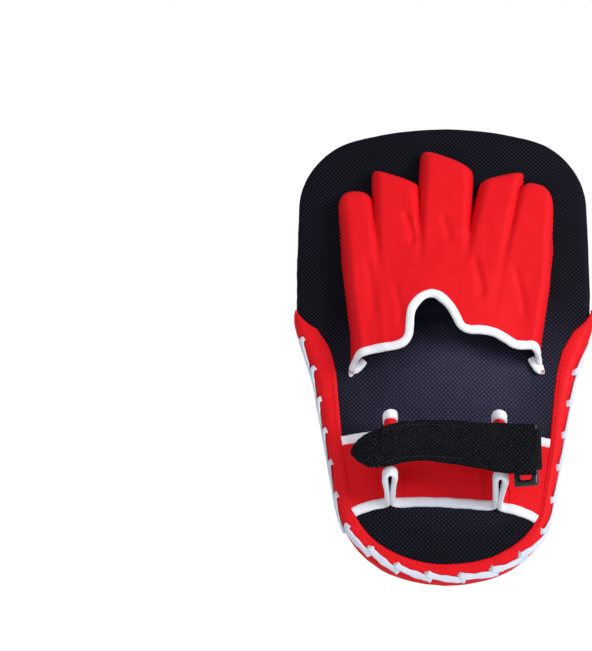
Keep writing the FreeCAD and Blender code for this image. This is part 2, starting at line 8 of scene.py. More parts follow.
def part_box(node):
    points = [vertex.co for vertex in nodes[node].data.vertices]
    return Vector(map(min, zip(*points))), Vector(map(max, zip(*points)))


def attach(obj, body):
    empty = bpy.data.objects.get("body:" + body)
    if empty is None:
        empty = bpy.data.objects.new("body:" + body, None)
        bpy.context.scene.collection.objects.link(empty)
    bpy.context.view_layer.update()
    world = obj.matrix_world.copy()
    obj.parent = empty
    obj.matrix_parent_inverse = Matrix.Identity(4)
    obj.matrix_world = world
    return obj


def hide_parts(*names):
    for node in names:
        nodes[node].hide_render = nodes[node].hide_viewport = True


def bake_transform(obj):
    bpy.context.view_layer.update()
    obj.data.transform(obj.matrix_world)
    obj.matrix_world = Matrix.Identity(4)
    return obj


# The looks of a laced focus mitt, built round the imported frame. All lengths are metres.
# The hand side of the mitt faces -Y and the striking face +Y; +Z points to the fingertips.

MM = 0.001
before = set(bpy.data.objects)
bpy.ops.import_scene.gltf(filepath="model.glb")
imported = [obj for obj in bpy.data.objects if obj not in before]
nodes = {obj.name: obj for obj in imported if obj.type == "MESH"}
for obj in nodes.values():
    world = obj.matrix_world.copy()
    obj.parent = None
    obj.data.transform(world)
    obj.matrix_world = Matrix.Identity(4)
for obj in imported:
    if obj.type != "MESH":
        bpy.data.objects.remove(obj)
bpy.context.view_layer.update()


# ---------------------------------------------------------------- places read from the frame

def low(node):
    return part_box(node)[0]


def high(node):
    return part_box(node)[1]


def middle(node):
    return (low(node) + high(node)) / 2


BACK = low("back_border").y
RIM_END = high("edge_band").y
SEAM = high("side_gusset").y
PAD_BOTTOM = low("side_gusset").z
NECK = high("lacing").z
BED_TOP = low("palm_bolster_cover").y
STRAP_Z = middle("strap_under_layer").z
STRAP_WIDTH = high("strap_under_layer").z - low("strap_under_layer").z
CENTRE = np.array([0.0, 0.010])


# ---------------------------------------------------------------- lines

def run_of(line):
    """The length run so far at each point of a line."""
    return np.concatenate([[0], np.cumsum(np.linalg.norm(np.diff(line, axis=0), axis=1))])


def sample(line, run, places):
    """The points of a line at some lengths along it."""
    return np.stack([np.interp(places, run, line[:, axis]) for axis in range(line.shape[1])], axis=-1)


def even_line(points, step):
    """A line cut into equal steps of about one length."""
    run = run_of(points)
    return sample(points, run, np.linspace(0, run[-1], max(3, int(run[-1] / step))))


def smooth_line(points, steps=12):
    """A smooth curve through given points (Catmull-Rom)."""
    points = np.asarray(points, float)
    padded = np.vstack([2 * points[0] - points[1], points, 2 * points[-1] - points[-2]])
    line = []
    for here in range(1, len(padded) - 2):
        before, start, end, after = padded[here - 1:here + 3]
        for share in np.linspace(0, 1, steps, endpoint=False):
            line.append(0.5 * (2 * start + (end - before) * share
                               + (2 * before - 5 * start + 4 * end - after) * share ** 2
                               + (3 * start - before - 3 * end + after) * share ** 3))
    line.append(padded[-2])
    return np.array(line)


def points_of(x, y, z):
    """Points from their three coordinates; each may be one value for all of them."""
    return np.stack(np.broadcast_arrays(x, y, z), axis=-1)


def unit(vectors):
    """Rows of vectors, each made one long."""
    return vectors / np.linalg.norm(vectors, axis=1)[:, None]


def softened(line, rounds):
    """A line with each inner point drawn towards its neighbours a few times."""
    line = line.copy()
    for _ in range(rounds):
        line[1:-1] = (line[:-2] + 2 * line[1:-1] + line[2:]) / 4
    return line


def fade(value, start, end):
    """0 before start, 1 after end, and smooth between."""
    share = np.clip((np.asarray(value, float) - start) / (end - start), 0, 1)
    return share * share * (3 - 2 * share)


# ---------------------------------------------------------------- outlines of the pad

LOOP_COUNT = 480


def resample(points):
    """A closed line cut into equal steps."""
    closed = np.vstack([points, points[:1]])
    run = run_of(closed)
    return sample(closed, run, np.linspace(0, run[-1], LOOP_COUNT, endpoint=False))


def outwards(loop):
    """The direction straight out of a closed line at each of its points."""
    ahead = np.roll(loop, -2, axis=0) - np.roll(loop, 2, axis=0)
    normal = unit(np.stack([ahead[:, 1], -ahead[:, 0]], axis=1))
    return -normal if np.sum(normal * (loop - CENTRE)) < 0 else normal


def grow(loop, distance):
    """The same closed line moved outwards."""
    return loop + outwards(loop) * distance


def slab_outline(node, reference):
    """The outline of a flat CAD slab, grown until it is as wide as another node."""
    points = {(round(vertex.co.x, 6), round(vertex.co.z, 6)) for vertex in nodes[node].data.vertices}
    ring = sorted(points, key=lambda point: math.atan2(point[0] - CENTRE[0], point[1] - CENTRE[1]))
    return resample(grow(resample(np.array(ring)), high(reference).x - high(node).x))


def at_depth(loop, depth):
    """A loop (x, z) stood at a depth behind the flat back."""
    return points_of(loop[:, 0], BACK + depth, loop[:, 1])


def towards_middle(loop, share):
    """A loop shrunk towards the middle of the mitt."""
    return CENTRE + (loop - CENTRE) * share


RIM = slab_outline("backing_board", "back_panel")
FACE = slab_outline("core_foam", "striking_face")


# ---------------------------------------------------------------- meshes

CRISP = math.radians(72)


def mesh_object(name, points, faces, uvs=None):
    """A smooth-shaded mesh, with the cloth's own lengths as its UV map."""
    mesh = bpy.data.meshes.new(name)
    mesh.from_pydata([tuple(point) for point in points], [], faces)
    mesh.update()
    if uvs is not None:
        layer = mesh.uv_layers.new(name="cloth")
        layer.data.foreach_set("uv", np.array([uv for face in uvs for uv in face], np.float32).ravel())
    mesh.polygons.foreach_set("use_smooth", [True] * len(mesh.polygons))
    piece = bpy.data.objects.new(name, mesh)
    bpy.context.scene.collection.objects.link(piece)
    return piece


def cloth_lengths(rows, closed):
    """Lengths measured along the middle row and down the middle column of a grid."""
    ring = rows[len(rows) // 2]
    if closed:
        ring = np.vstack([ring, ring[:1]])
    along = run_of(ring)
    down = run_of(rows[:, rows.shape[1] // 2])
    return [[(across, deep) for across in along] for deep in down]


def grid_cells(count, width, closed=False, filled=()):
    """The corners (row, column) of each face of a grid, with one face over each filled row."""
    cells = [((row, column), (row, column + 1), (row + 1, column + 1), (row + 1, column))
             for row in range(count - 1) for column in range(width if closed else width - 1)]
    for row in filled:
        columns = range(width) if row else range(width - 1, -1, -1)
        cells.append(tuple((row, column) for column in columns))
    return cells


def numbered(cells, width):
    """The faces of a grid's cells, its points numbered row by row."""
    return [tuple(row * width + column % width for row, column in cell) for cell in cells]


def surface(name, rows, closed=False, flat=None, filled=()):
    """A grid of points made into a surface: rows by columns, the columns closed or open.

    flat gives each point's place on the flat cloth; without it the cloth's lengths are measured.
    filled are the rows, first (0) or last, that are closed with one face."""
    rows = np.asarray(rows, float)
    count, width = rows.shape[:2]
    if flat is None:
        flat = cloth_lengths(rows, closed)
    cells = grid_cells(count, width, closed, filled)
    uvs = [[flat[row][column] for row, column in cell] for cell in cells]
    return mesh_object(name, rows.reshape(-1, 3), numbered(cells, width), uvs)


def settle(piece):
    """Apply a piece's modifiers."""
    bpy.context.view_layer.update()
    graph = bpy.context.evaluated_depsgraph_get()
    mesh = bpy.data.meshes.new_from_object(piece.evaluated_get(graph))
    piece.modifiers.clear()
    piece.data = mesh


def thicken(piece, thickness):
    """Give a surface a leather's thickness, inwards from where it is."""
    solid = piece.modifiers.new("thickness", "SOLIDIFY")
    solid.thickness = thickness
    solid.offset = -1
    settle(piece)
    piece.data.set_sharp_from_angle(angle=CRISP)


def crumple(piece, amount, spread, seed, inside):
    """Push a piece's points in and out along their normals, in soft waves."""
    mesh = piece.data
    places = np.zeros(len(mesh.vertices) * 3)
    normals = np.zeros(len(mesh.vertices) * 3)
    mesh.vertices.foreach_get("co", places)
    mesh.vertex_normals.foreach_get("vector", normals)
    places = places.reshape(-1, 3)
    waves = np.array([noise.fractal(Vector(place / spread) + Vector((seed, seed, seed)), 0.8, 2.1, 4)
                      for place in places])
    if inside is not None:
        waves = waves * np.array([inside(place) for place in places])
    moved = places + normals.reshape(-1, 3) * (waves * amount)[:, None]
    mesh.vertices.foreach_set("co", moved.ravel())
    mesh.update()


def swell(rows, held, centre, pressure, cap):
    """Push closed rows of points out as simulated cloth over its filling, held along some rows.

    A coarser copy is simulated, every point follows it straight outwards by no more than cap, and
    the centre's tiny row moves with its neighbours."""
    rows = np.asarray(rows, float)
    free = [row for row in range(len(rows)) if row != centre]
    stride = rows.shape[1] // 60
    coarse = rows[free][:, ::stride]
    width = coarse.shape[1]
    copy = surface("swell_copy", coarse, closed=True)
    outward = np.array([vertex.normal for vertex in copy.data.vertices]).reshape(coarse.shape)
    pinned = [row * width + column for row in held for column in range(width)]
    copy.vertex_groups.new(name="held").add(pinned, 1.0, "REPLACE")
    cloth = copy.modifiers.new("swell", "CLOTH").settings
    cloth.vertex_group_mass = "held"
    cloth.quality = 8
    cloth.mass = 0.3
    cloth.tension_stiffness = 15
    cloth.compression_stiffness = 15
    cloth.bending_stiffness = 0.5
    cloth.use_pressure = True
    cloth.uniform_pressure_force = pressure
    cloth.effector_weights.gravity = 0
    scene = bpy.context.scene
    for moment in range(1, 21):
        scene.frame_set(moment)
    settle(copy)
    moved = np.array([vertex.co for vertex in copy.data.vertices]).reshape(coarse.shape) - coarse
    scene.frame_set(1)
    bpy.data.objects.remove(copy)
    moved = np.clip((moved * outward).sum(axis=2, keepdims=True), 0, cap) * outward
    places = np.arange(rows.shape[1])
    known = np.append(places[::stride], rows.shape[1])
    spread = np.zeros_like(rows)
    for here, row in enumerate(free):
        spread[row] = sample(np.vstack([moved[here], moved[here, :1]]), known, places)
    spread[centre] = moved[free.index(centre - 1 if centre else 1)].mean(axis=0)
    return rows + spread


def ribbon(name, line, side, width, thickness, across=6, normal=None):
    """A flat strip with rounded edges along a line; side is the direction of its width.

    side, width and thickness may each be one value or one for each point of the line."""
    count = len(line)
    side = np.broadcast_to(side, (count, 3))
    width = np.broadcast_to(width, (count,))
    half = np.broadcast_to(thickness, (count,)) / 2
    if normal is None:
        normal = np.cross(np.gradient(line, axis=0), side)
    normal = unit(normal)
    flat_sides = np.linspace(-1, 1, across)
    round_side = np.linspace(math.pi / 2, -math.pi / 2, 5)[1:-1]
    ring = [(place, 0.0, 1.0) for place in flat_sides]
    ring += [(1.0, math.cos(angle), math.sin(angle)) for angle in round_side]
    ring += [(place, 0.0, -1.0) for place in flat_sides[::-1]]
    ring += [(-1.0, -math.cos(angle), -math.sin(angle)) for angle in round_side]
    ring = np.array(ring)
    flat = np.maximum(width / 2 - half, half * 0.2)
    along_side = ring[:, 0] * flat[:, None] + ring[:, 1] * half[:, None]
    out = ring[:, 2] * half[:, None]
    rows = line[:, None] + along_side[:, :, None] * side[:, None] + out[:, :, None] * normal[:, None]
    places = np.append(ring[:, 0], ring[0, 0]) * width.mean() / 2
    cloth = [[(run, place) for place in places] for run in run_of(line)]
    piece = surface(name, rows, closed=True, flat=cloth, filled=(0, count - 1))
    piece.data.set_sharp_from_angle(angle=CRISP)
    return piece


# ---------------------------------------------------------------- materials

def colour_in(mix, name):
    """A Mix node's colour input: its sockets of other kinds have the same names."""
    return next(socket for socket in mix.inputs if socket.name == name and socket.type == "RGBA")


class Finish:
    """A material built up in layers: a base colour, then tints and bumps from procedural patterns."""

    def __init__(self, name, colour, roughness, specular, sheen=0.0):
        self.material = bpy.data.materials.new(name)
        self.material.use_nodes = True
        self.tree = self.material.node_tree
        self.shader = self.tree.nodes["Principled BSDF"]
        self.shader.inputs["Roughness"].default_value = roughness
        self.shader.inputs["Specular IOR Level"].default_value = specular
        self.shader.inputs["Sheen Weight"].default_value = sheen
        self.places = self.add("ShaderNodeTexCoord")
        self.base = (*colour, 1)
        self.colour = None
        self.normal = None
        self.material.diffuse_color = self.base

    def add(self, kind, inputs=(), **settings):
        """A new node with its settings and the values of its named inputs."""
        node = self.tree.nodes.new(kind)
        for key, value in settings.items():
            setattr(node, key, value)
        for socket, value in dict(inputs).items():
            node.inputs[socket].default_value = value
        return node

    def link(self, source, target):
        self.tree.links.new(source, target)

    def pattern(self, kind, output, space, scale, turn, inputs):
        """A texture laid in one space, scaled (features per metre) and turned in the sheet's plane."""
        scales = scale if isinstance(scale, tuple) else (scale, scale, scale)
        turned = (0, 0, math.radians(turn))
        mapping = self.add("ShaderNodeMapping", {"Rotation": turned, "Scale": scales})
        texture = self.add(kind, {"Scale": 1.0, **inputs})
        self.link(self.places.outputs[space], mapping.inputs["Vector"])
        self.link(mapping.outputs[0], texture.inputs["Vector"])
        return texture.outputs[output]

    def noise(self, scale, detail=4.0):
        inputs = {"Detail": detail, "Roughness": 0.6}
        return self.pattern("ShaderNodeTexNoise", "Fac", "Object", scale, 0, inputs)

    def cells(self, scale, randomness=1.0, space="Object", turn=0.0):
        inputs = {"Randomness": randomness}
        return self.pattern("ShaderNodeTexVoronoi", "Distance", space, scale, turn, inputs)

    def waves(self, scale, turn=0.0):
        return self.pattern("ShaderNodeTexWave", "Fac", "UV", scale, turn, {})

    def between(self, value, start, end):
        """A value stretched so that start becomes 0 and end becomes 1."""
        stretch = self.add("ShaderNodeMapRange", {"From Min": start, "From Max": end})
        self.link(value, stretch.inputs["Value"])
        return stretch.outputs[0]

    def product(self, first, second):
        """Two values multiplied."""
        both = self.add("ShaderNodeMath", operation="MULTIPLY")
        self.link(first, both.inputs[0])
        self.link(second, both.inputs[1])
        return both.outputs[0]

    def around(self, x, z, reach):
        """1 at a place in the mitt's own XZ plane, fading to 0 at a reach from it."""
        moved = self.add("ShaderNodeMapping", {"Location": (-x / reach, 0, -z / reach),
                                               "Scale": (1 / reach, 0, 1 / reach)})
        self.link(self.places.outputs["Object"], moved.inputs["Vector"])
        away = self.add("ShaderNodeVectorMath", operation="LENGTH")
        self.link(moved.outputs[0], away.inputs[0])
        return self.between(away.outputs["Value"], 1.0, 0.25)

    def tint(self, value, colour, strength):
        """Mix another colour into the base where a value is high."""
        mix = self.add("ShaderNodeMix", data_type="RGBA")
        colour_in(mix, "A").default_value = self.base
        colour_in(mix, "B").default_value = (*colour, 1)
        amount = self.add("ShaderNodeMath", {1: strength}, operation="MULTIPLY")
        self.link(value, amount.inputs[0])
        self.link(amount.outputs[0], mix.inputs[0])
        if self.colour is not None:
            self.link(self.colour, colour_in(mix, "A"))
        self.colour = mix.outputs[2]

    def specks(self, scale, detail, start, end, colour, strength):
        """Tint the spots where a noise lies above a level."""
        self.tint(self.between(self.noise(scale, detail), start, end), colour, strength)

    def bump(self, value, height, strength):
        """Raise the surface by a height in metres where a value is high."""
        raised = self.add("ShaderNodeBump", {"Strength": strength, "Distance": height})
        self.link(value, raised.inputs["Height"])
        if self.normal is not None:
            self.link(self.normal, raised.inputs["Normal"])
        self.normal = raised.outputs[0]

    def vary_roughness(self, value, low_value, high_value):
        spread = self.add("ShaderNodeMapRange", {"To Min": low_value, "To Max": high_value})
        self.link(value, spread.inputs["Value"])
        self.link(spread.outputs[0], self.shader.inputs["Roughness"])

    def done(self):
        if self.colour is not None:
            self.link(self.colour, self.shader.inputs["Base Color"])
        if self.normal is not None:
            self.link(self.normal, self.shader.inputs["Normal"])
        return self.material


RED = (0.73, 0.007, 0.013)
DEEP_RED = (0.50, 0.004, 0.008)
BRIGHT_RED = (0.90, 0.030, 0.030)
BLACK = (0.0014, 0.0014, 0.0022)
GREY_DOT = (0.018, 0.017, 0.044)
PALE_DOT = (0.042, 0.040, 0.088)
# Colours of painted light on the black vinyl, paler where it is lit round the palm bed.
PAINTED_LIGHT_BLACK = (0.021, 0.020, 0.041)
PAINTED_LIGHT_DOT = (0.080, 0.080, 0.140)
WHITE = (0.86, 0.87, 0.90)
# SHADE_WHITE is the tape's bluish grey: for its specks and ribs, and for its painted shade.
SHADE_WHITE = (0.58, 0.63, 0.75)
# The lace is dulled to a bluish grey all over: painted shade on white leather.
LACE_WHITE = (0.64, 0.68, 0.77)
LACE_SHADE = (0.42, 0.47, 0.60)
DOT_PITCH = 2.1 * MM
TWILL_PITCH = 1.9 * MM


def red_leather(name, grain, roughness):
    """Smooth coated leather: fine grain, pores, creased tone and slightly scuffed high spots."""
    finish = Finish(name, RED, roughness, specular=0.09)
    finish.specks(16, 4, 0.35, 0.75, DEEP_RED, 0.22)
    finish.specks(70, 6, 0.60, 0.80, BRIGHT_RED, 0.35)
    pores = finish.cells(grain)
    finish.tint(finish.between(pores, 0.35, 0.0), DEEP_RED, 0.14)
    finish.bump(finish.noise(45, detail=5), 0.5 * MM, 0.25)
    finish.bump(pores, 0.10 * MM, 0.35)
    finish.bump(finish.noise(grain * 2.2, detail=3), 0.05 * MM, 0.25)
    finish.vary_roughness(finish.noise(30), roughness - 0.08, roughness + 0.10)
    return finish.done()


def black_vinyl(name, lit_patch=None):
    """Black upholstery vinyl, embossed all over with a diagonal grid of fine dots.

    The place (x, z) and reach given last mark a patch of painted light, where the black and its dots are
    paler."""
    finish = Finish(name, BLACK, 0.62, specular=0.07)
    dots = finish.cells(1 / DOT_PITCH, randomness=0.0, space="UV", turn=45.0)
    spots = finish.between(dots, 0.34, 0.16)
    patches = finish.between(finish.noise(18), 0.30, 0.75)
    finish.tint(spots, GREY_DOT, 0.55)
    if lit_patch:
        # Painted light: the black and its dots turn paler round one place, as if lit there.
        lit_area = finish.around(*lit_patch)
        finish.tint(lit_area, PAINTED_LIGHT_BLACK, 0.9)
        finish.tint(finish.product(spots, lit_area), PAINTED_LIGHT_DOT, 0.8)
    finish.tint(finish.product(spots, patches), PALE_DOT, 0.35)
    finish.bump(finish.between(dots, 0.42, 0.15), 0.22 * MM, 0.6)
    finish.bump(finish.noise(60, detail=5), 0.4 * MM, 0.20)
    finish.bump(finish.cells(2600), 0.05 * MM, 0.3)
    finish.vary_roughness(finish.noise(35), 0.52, 0.72)
    return finish.done()


def white_tape(name, shaded):
    """Folded white binding tape with a fine rib across it, bluish-grey specks and a patch of painted shade.

    shaded is a place (x, z) and a reach round which painted shade greys the tape."""
    finish = Finish(name, WHITE, 0.62, specular=0.25, sheen=0.15)
    finish.specks(90, 5, 0.45, 0.80, SHADE_WHITE, 0.45)
    # Painted shade: the tape greys round one place, as if in shadow.
    finish.tint(finish.around(*shaded), SHADE_WHITE, 0.6)
    ribs = finish.waves((900.0, 900.0, 1.0))
    finish.bump(ribs, 0.12 * MM, 0.35)
    finish.bump(finish.noise(420, detail=3), 0.15 * MM, 0.35)
    finish.tint(finish.between(ribs, 0.75, 1.0), SHADE_WHITE, 0.25)
    return finish.done()


def white_thong(name):
    """A flat white leather lace, soft and slightly cracked along its bends, dulled all over with painted
    shade.
    """
    finish = Finish(name, LACE_WHITE, 0.50, specular=0.25)
    finish.specks(140, 6, 0.45, 0.80, LACE_SHADE, 0.6)
    finish.bump(finish.noise(700), 0.12 * MM, 0.5)
    finish.bump(finish.cells(900), 0.10 * MM, 0.25)
    return finish.done()


def webbing(name):
    """Black brushed nylon: a tight twill under a dusty nap."""
    finish = Finish(name, (0.0018, 0.0018, 0.0024), 0.85, specular=0.06, sheen=0.04)
    finish.specks(900, 2, 0.55, 0.80, (0.022, 0.022, 0.028), 0.7)
    weave = finish.cells(1 / TWILL_PITCH, randomness=0.2, space="UV", turn=45.0)
    finish.tint(finish.between(weave, 0.34, 0.12), (0.030, 0.031, 0.048), 0.75)
    finish.specks(50, 4, 0.50, 0.85, (0.010, 0.010, 0.013), 0.8)
    finish.bump(finish.waves((520.0, 260.0, 1.0), turn=35.0), 0.25 * MM, 0.6)
    finish.bump(finish.noise(1500, detail=3), 0.25 * MM, 0.7)
    return finish.done()


def pile(name, scale, height):
    """Hook or loop pile, a dense fuzz of small points."""
    finish = Finish(name, (0.012, 0.012, 0.013), 0.95, specular=0.08, sheen=0.35)
    points = finish.cells(scale)
    finish.tint(finish.between(points, 0.45, 0.05), (0.05, 0.05, 0.055), 0.9)
    finish.bump(finish.between(points, 0.6, 0.0), height, 1.0)
    finish.bump(finish.noise(scale * 0.3, detail=3), height, 0.6)
    return finish.done()


def moulded_plastic(name):
    """Black injection-moulded plastic with fine scratches and a dull satin skin."""
    finish = Finish(name, (0.012, 0.012, 0.014), 0.32, specular=0.5)
    finish.specks(600, 5, 0.60, 0.75, (0.07, 0.07, 0.075), 0.5)
    finish.bump(finish.noise(900), 0.04 * MM, 0.5)
    finish.vary_roughness(finish.noise(300, detail=6), 0.22, 0.48)
    return finish.done()


def darker(colour):
    return tuple(part * 0.6 for part in colour)


def thread(name, colour):
    """Twisted sewing thread."""
    finish = Finish(name, colour, 0.6, specular=0.25)
    finish.bump(finish.noise(2500, detail=2), 0.08 * MM, 0.8)
    finish.specks(900, 4, 0.5, 0.8, darker(colour), 0.5)
    return finish.done()


def foam(name, colour):
    """Open foam or pressed fibre, seen only if the leather is taken away."""
    finish = Finish(name, colour, 0.95, specular=0.1)
    bubbles = finish.cells(900)
    finish.tint(finish.between(bubbles, 0.5, 0.1), darker(colour), 0.8)
    finish.bump(bubbles, 0.4 * MM, 0.7)
    return finish.done()


def pale_floor(name):
    """A plain pale studio floor with a trace of texture."""
    finish = Finish(name, (0.86, 0.86, 0.87), 0.8, specular=0.1)
    finish.specks(3, 4, 0.3, 0.8, (0.82, 0.82, 0.83), 0.5)
    return finish.done()


# The material of each of the record's slots.
MATERIALS = {
    "red_leather": red_leather("red_face_leather", 700, 0.50),
    "glove_leather": red_leather("red_glove_leather", 900, 0.60),
    # The panel's vinyl carries painted light round the palm bed.
    "black_mesh_vinyl": black_vinyl("black_dotted_vinyl", lit_patch=(0.010, -0.025, 0.095)),
    "black_vinyl": black_vinyl("black_dotted_gusset_vinyl"),
    # The tape has painted shade between the pleats of the wrist band.
    "white_binding": white_tape("white_binding_tape", shaded=(0.0, -0.102, 0.055)),
    "white_lace": white_thong("white_lace_leather"),
    "black_webbing": webbing("black_brushed_webbing"),
    "loop_pile": pile("loop_pile", 1400, 0.35 * MM),
    "hook_tape": pile("hook_pile", 900, 0.40 * MM),
}
RED_THREAD = thread("red_thread", (0.62, 0.012, 0.016))
BLACK_THREAD = thread("black_thread", (0.02, 0.02, 0.024))


def finish_piece(piece, body, slot, *replaced, material=None):
    """Give a piece its material (the slot's, or the one given), put it under its body, and hide the CAD
    nodes it stands in for.
    """
    piece.data.materials.clear()
    piece.data.materials.append(material or MATERIALS[slot])
    if body is not None:
        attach(piece, body)
    if replaced:
        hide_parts(*replaced)
    return piece


def sew(piece, waves, spread, seed, slot, *replaced, thick=0, body="pad", inside=None):
    """Crumple a sewn piece in waves of a height and a spread, then thicken and finish it."""
    crumple(piece, waves, spread, seed, inside)
    if thick:
        thicken(piece, thick)
    return finish_piece(piece, body, slot, *replaced)


# ---------------------------------------------------------------- stitches

STITCH_SIDES = 6
STITCH_STATIONS = 7
STITCH_CELLS = grid_cells(STITCH_STATIONS, STITCH_SIDES, closed=True, filled=(0, STITCH_STATIONS - 1))
STITCH_FACES = numbered(STITCH_CELLS, STITCH_SIDES)


def stitch_row(name, line, up, slot, body="pad", thread=RED_THREAD,
               pitch=3.6 * MM, length=2.6 * MM, radius=0.32 * MM):
    """A row of sewn stitches: short round threads that dip into the leather at both ends."""
    run = run_of(line)
    up = np.array(up, float) / np.linalg.norm(up)
    shares = np.linspace(0, 1, STITCH_STATIONS)
    bow = np.sin(math.pi * shares)[:, None, None]
    spread = radius * (0.45 + 0.55 * bow)
    turn = np.linspace(0, 2 * math.pi, STITCH_SIDES, endpoint=False)[None, :, None]
    rise = radius * (1.6 * bow - 0.9) + spread * np.sin(turn)
    points = []
    faces = []
    for start in np.arange(0, run[-1] - length, pitch):
        places = start + shares * length
        centre = sample(line, run, places)
        ahead = unit(sample(line, run, places + 0.1 * MM) - centre)
        beside = np.cross(ahead, up)[:, None]
        faces += [tuple(len(points) + corner for corner in face) for face in STITCH_FACES]
        points += list((centre[:, None] + up * rise + beside * spread * np.cos(turn)).reshape(-1, 3))
    finish_piece(mesh_object(name, points, faces), body, slot, material=thread)


# ---------------------------------------------------------------- the pad: panel, gusset, face

PANEL_ROUND = 3.5 * MM
FACE_ROUND = 9 * MM
FACE_START = SEAM - BACK + 2.2 * MM


def planar(loops):
    """Cloth positions for closed loops laid flat, with each loop's first point again at its end."""
    return [np.vstack([loop, loop[:1]]) for loop in loops]


def make_back_panel():
    """The vinyl over the board: a slight cushion that wraps over the rim at the head."""
    hidden = 1.6 * MM * fade(-RIM[:, 1], -NECK - 0.030, -NECK - 0.008)
    loop = RIM - outwards(RIM) * hidden[:, None]
    side = RIM_END - BACK - 1 * MM
    tuck = 1.2 * MM
    inner = grow(loop, -PANEL_ROUND)
    pillow = 0.9 * MM
    rows = []
    sheet = []

    def add(shown, depth, flat):
        rows.append(at_depth(shown, depth))
        sheet.append(flat)

    for share in np.concatenate([[0.004], np.linspace(0.06, 0.97, 34)]):
        flat = towards_middle(inner, share)
        add(flat, -pillow * (1 - share ** 6), flat)
    for angle in np.linspace(0, math.pi / 2, 6):
        add(grow(loop, PANEL_ROUND * (math.sin(angle) - 1)), PANEL_ROUND * (1 - math.cos(angle)),
            grow(loop, PANEL_ROUND * (angle - 1)))
    for depth in (5 * MM, side):
        add(loop, depth, grow(loop, depth))
    add(grow(loop, -tuck), side + tuck * 0.6, grow(loop, side + tuck))
    piece = surface("back_panel_vinyl", rows, closed=True, flat=planar(sheet))
    sew(piece, 0.35 * MM, 0.030, 3, "black_mesh_vinyl", "back_panel", thick=1.2 * MM)


def make_side_gusset():
    """The vinyl wall between the rim and the striking face, bulged by the foam behind it."""
    tuck = 1.2 * MM
    rows = []
    for share in np.linspace(0, 1, 22):
        bulge = 1.6 * MM * math.sin(math.pi * share) ** 0.7
        drawn_in = tuck * (1 - fade(share, 0, 0.06)) + tuck * fade(share, 0.95, 1)
        loop = RIM + (FACE - RIM) * fade(share, -0.15, 1.1)
        rows.append(at_depth(grow(loop, bulge - drawn_in), RIM_END - BACK + (SEAM - RIM_END) * share))

    def away_from_seams(place):
        return fade(place[1], RIM_END, RIM_END + 6 * MM) * (1 - fade(place[1], SEAM - 6 * MM, SEAM))

    piece = surface("side_gusset_vinyl", rows, closed=True)
    sew(piece, 0.8 * MM, 0.026, 11, "black_vinyl", "side_gusset", thick=1.2 * MM, inside=away_from_seams)


def make_striking_face():
    """The padded striking face: drawn in at its seam, rounded, and crowned in the middle."""
    crown = 3.2 * MM
    gathers = 0.35 * MM * np.sin(np.linspace(0, 2 * math.pi * 92, LOOP_COUNT, endpoint=False))
    rows = []
    for angle in np.linspace(-0.35, math.pi / 2, 14):
        pinch = gathers * (1 - fade(angle, 0.1, 0.9))
        loop = grow(FACE, FACE_ROUND * (math.cos(angle) - 1)) - outwards(FACE) * pinch[:, None]
        rows.append(at_depth(loop, FACE_START + FACE_ROUND * math.sin(angle)))
    inner = grow(FACE, -FACE_ROUND)
    for share in np.concatenate([np.linspace(0.985, 0.06, 40), [0.004]]):
        rise = crown * (1 - share ** 2.4)
        rows.append(at_depth(towards_middle(inner, share), FACE_START + FACE_ROUND + rise))
    last = len(rows) - 1
    rows = swell(rows, held=range(4), centre=last, pressure=1.5, cap=1.6 * MM)
    piece = surface("striking_face_leather", rows, closed=True, filled=(last,))
    sew(piece, 0.7 * MM, 0.050, 23, "red_leather", "striking_face", thick=2.0 * MM)


# ---------------------------------------------------------------- border and edge band

ROLL = 6.5 * MM
BORDER_LIFT = 1.5 * MM

# How wide the leather border shows on the back at some heights, at the -X side and at the +X side.
BORDER_WIDTHS = np.array([
    (-150, 11.0, 11.0),
    (-138, 11.0, 10.5),
    (-126, 9.8, 8.4),
    (-106, 8.4, 6.2),
    (-63, 9.3, 7.0),
    (-30, 12.5, 9.6),
    (0, 15.5, 12.0),
    (14, 12.5, 10.0),
    (31, 0.6, 0.6),
]) * MM


def lower_rim():
    """The rim below the necks as an open line, from the right neck round the bottom to the left."""
    above = np.nonzero(RIM[:, 1] > NECK + 0.016)[0]
    rim = np.roll(RIM, -(above[-1] + 1), axis=0)
    out = np.roll(outwards(RIM), -(above[-1] + 1), axis=0)
    count = 1 + np.nonzero(rim[:, 1] < NECK + 0.016)[0][-1]
    return rim[:count], out[:count]


LOWER_RIM, LOWER_OUT = lower_rim()


def border_width(line):
    """How wide the leather border shows at each point of a line."""
    levels, left, right = BORDER_WIDTHS.T
    x, z = line.T
    return np.where(x < 0, np.interp(z, levels, left), np.interp(z, levels, right))


def rim_rows(offsets):
    """Rows along the lower rim: each offset is a distance out from the rim and a depth."""
    return [at_depth(LOWER_RIM + LOWER_OUT * np.broadcast_to(out, (len(LOWER_RIM),))[:, None], depth)
            for out, depth in offsets]


def rim_leather(name, offsets, spread, seed, node):
    """A strip of face leather along the lower rim."""
    sew(surface(name, rim_rows(offsets)), 0.4 * MM, spread, seed, "red_leather", node, thick=0.5 * MM)


def make_back_border():
    """The red leather border over the panel's edge, turned under along its inner side."""
    width = border_width(LOWER_RIM)
    start = -width + 0.8 * MM
    roll_start = -np.minimum(ROLL, width * 0.6)
    offsets = [(-width + 0.9 * MM, 0.4 * MM), (-width, 0.1 * MM), (-width - 0.35 * MM, -0.6 * MM),
               (-width, -1.2 * MM), (start, -BORDER_LIFT)]
    for share in (0.25, 0.5, 0.75, 1.0):
        offsets.append((start * (1 - share) + roll_start * share, -BORDER_LIFT))
    for angle in np.linspace(0, math.pi / 2, 10)[1:]:
        out = roll_start * (1 - math.sin(angle)) + 1.2 * MM * math.sin(angle)
        offsets.append((out, -BORDER_LIFT + (ROLL + BORDER_LIFT * 0.4) * (1 - math.cos(angle))))
    rim_leather("back_border_leather", offsets, 0.018, 5, "back_border")


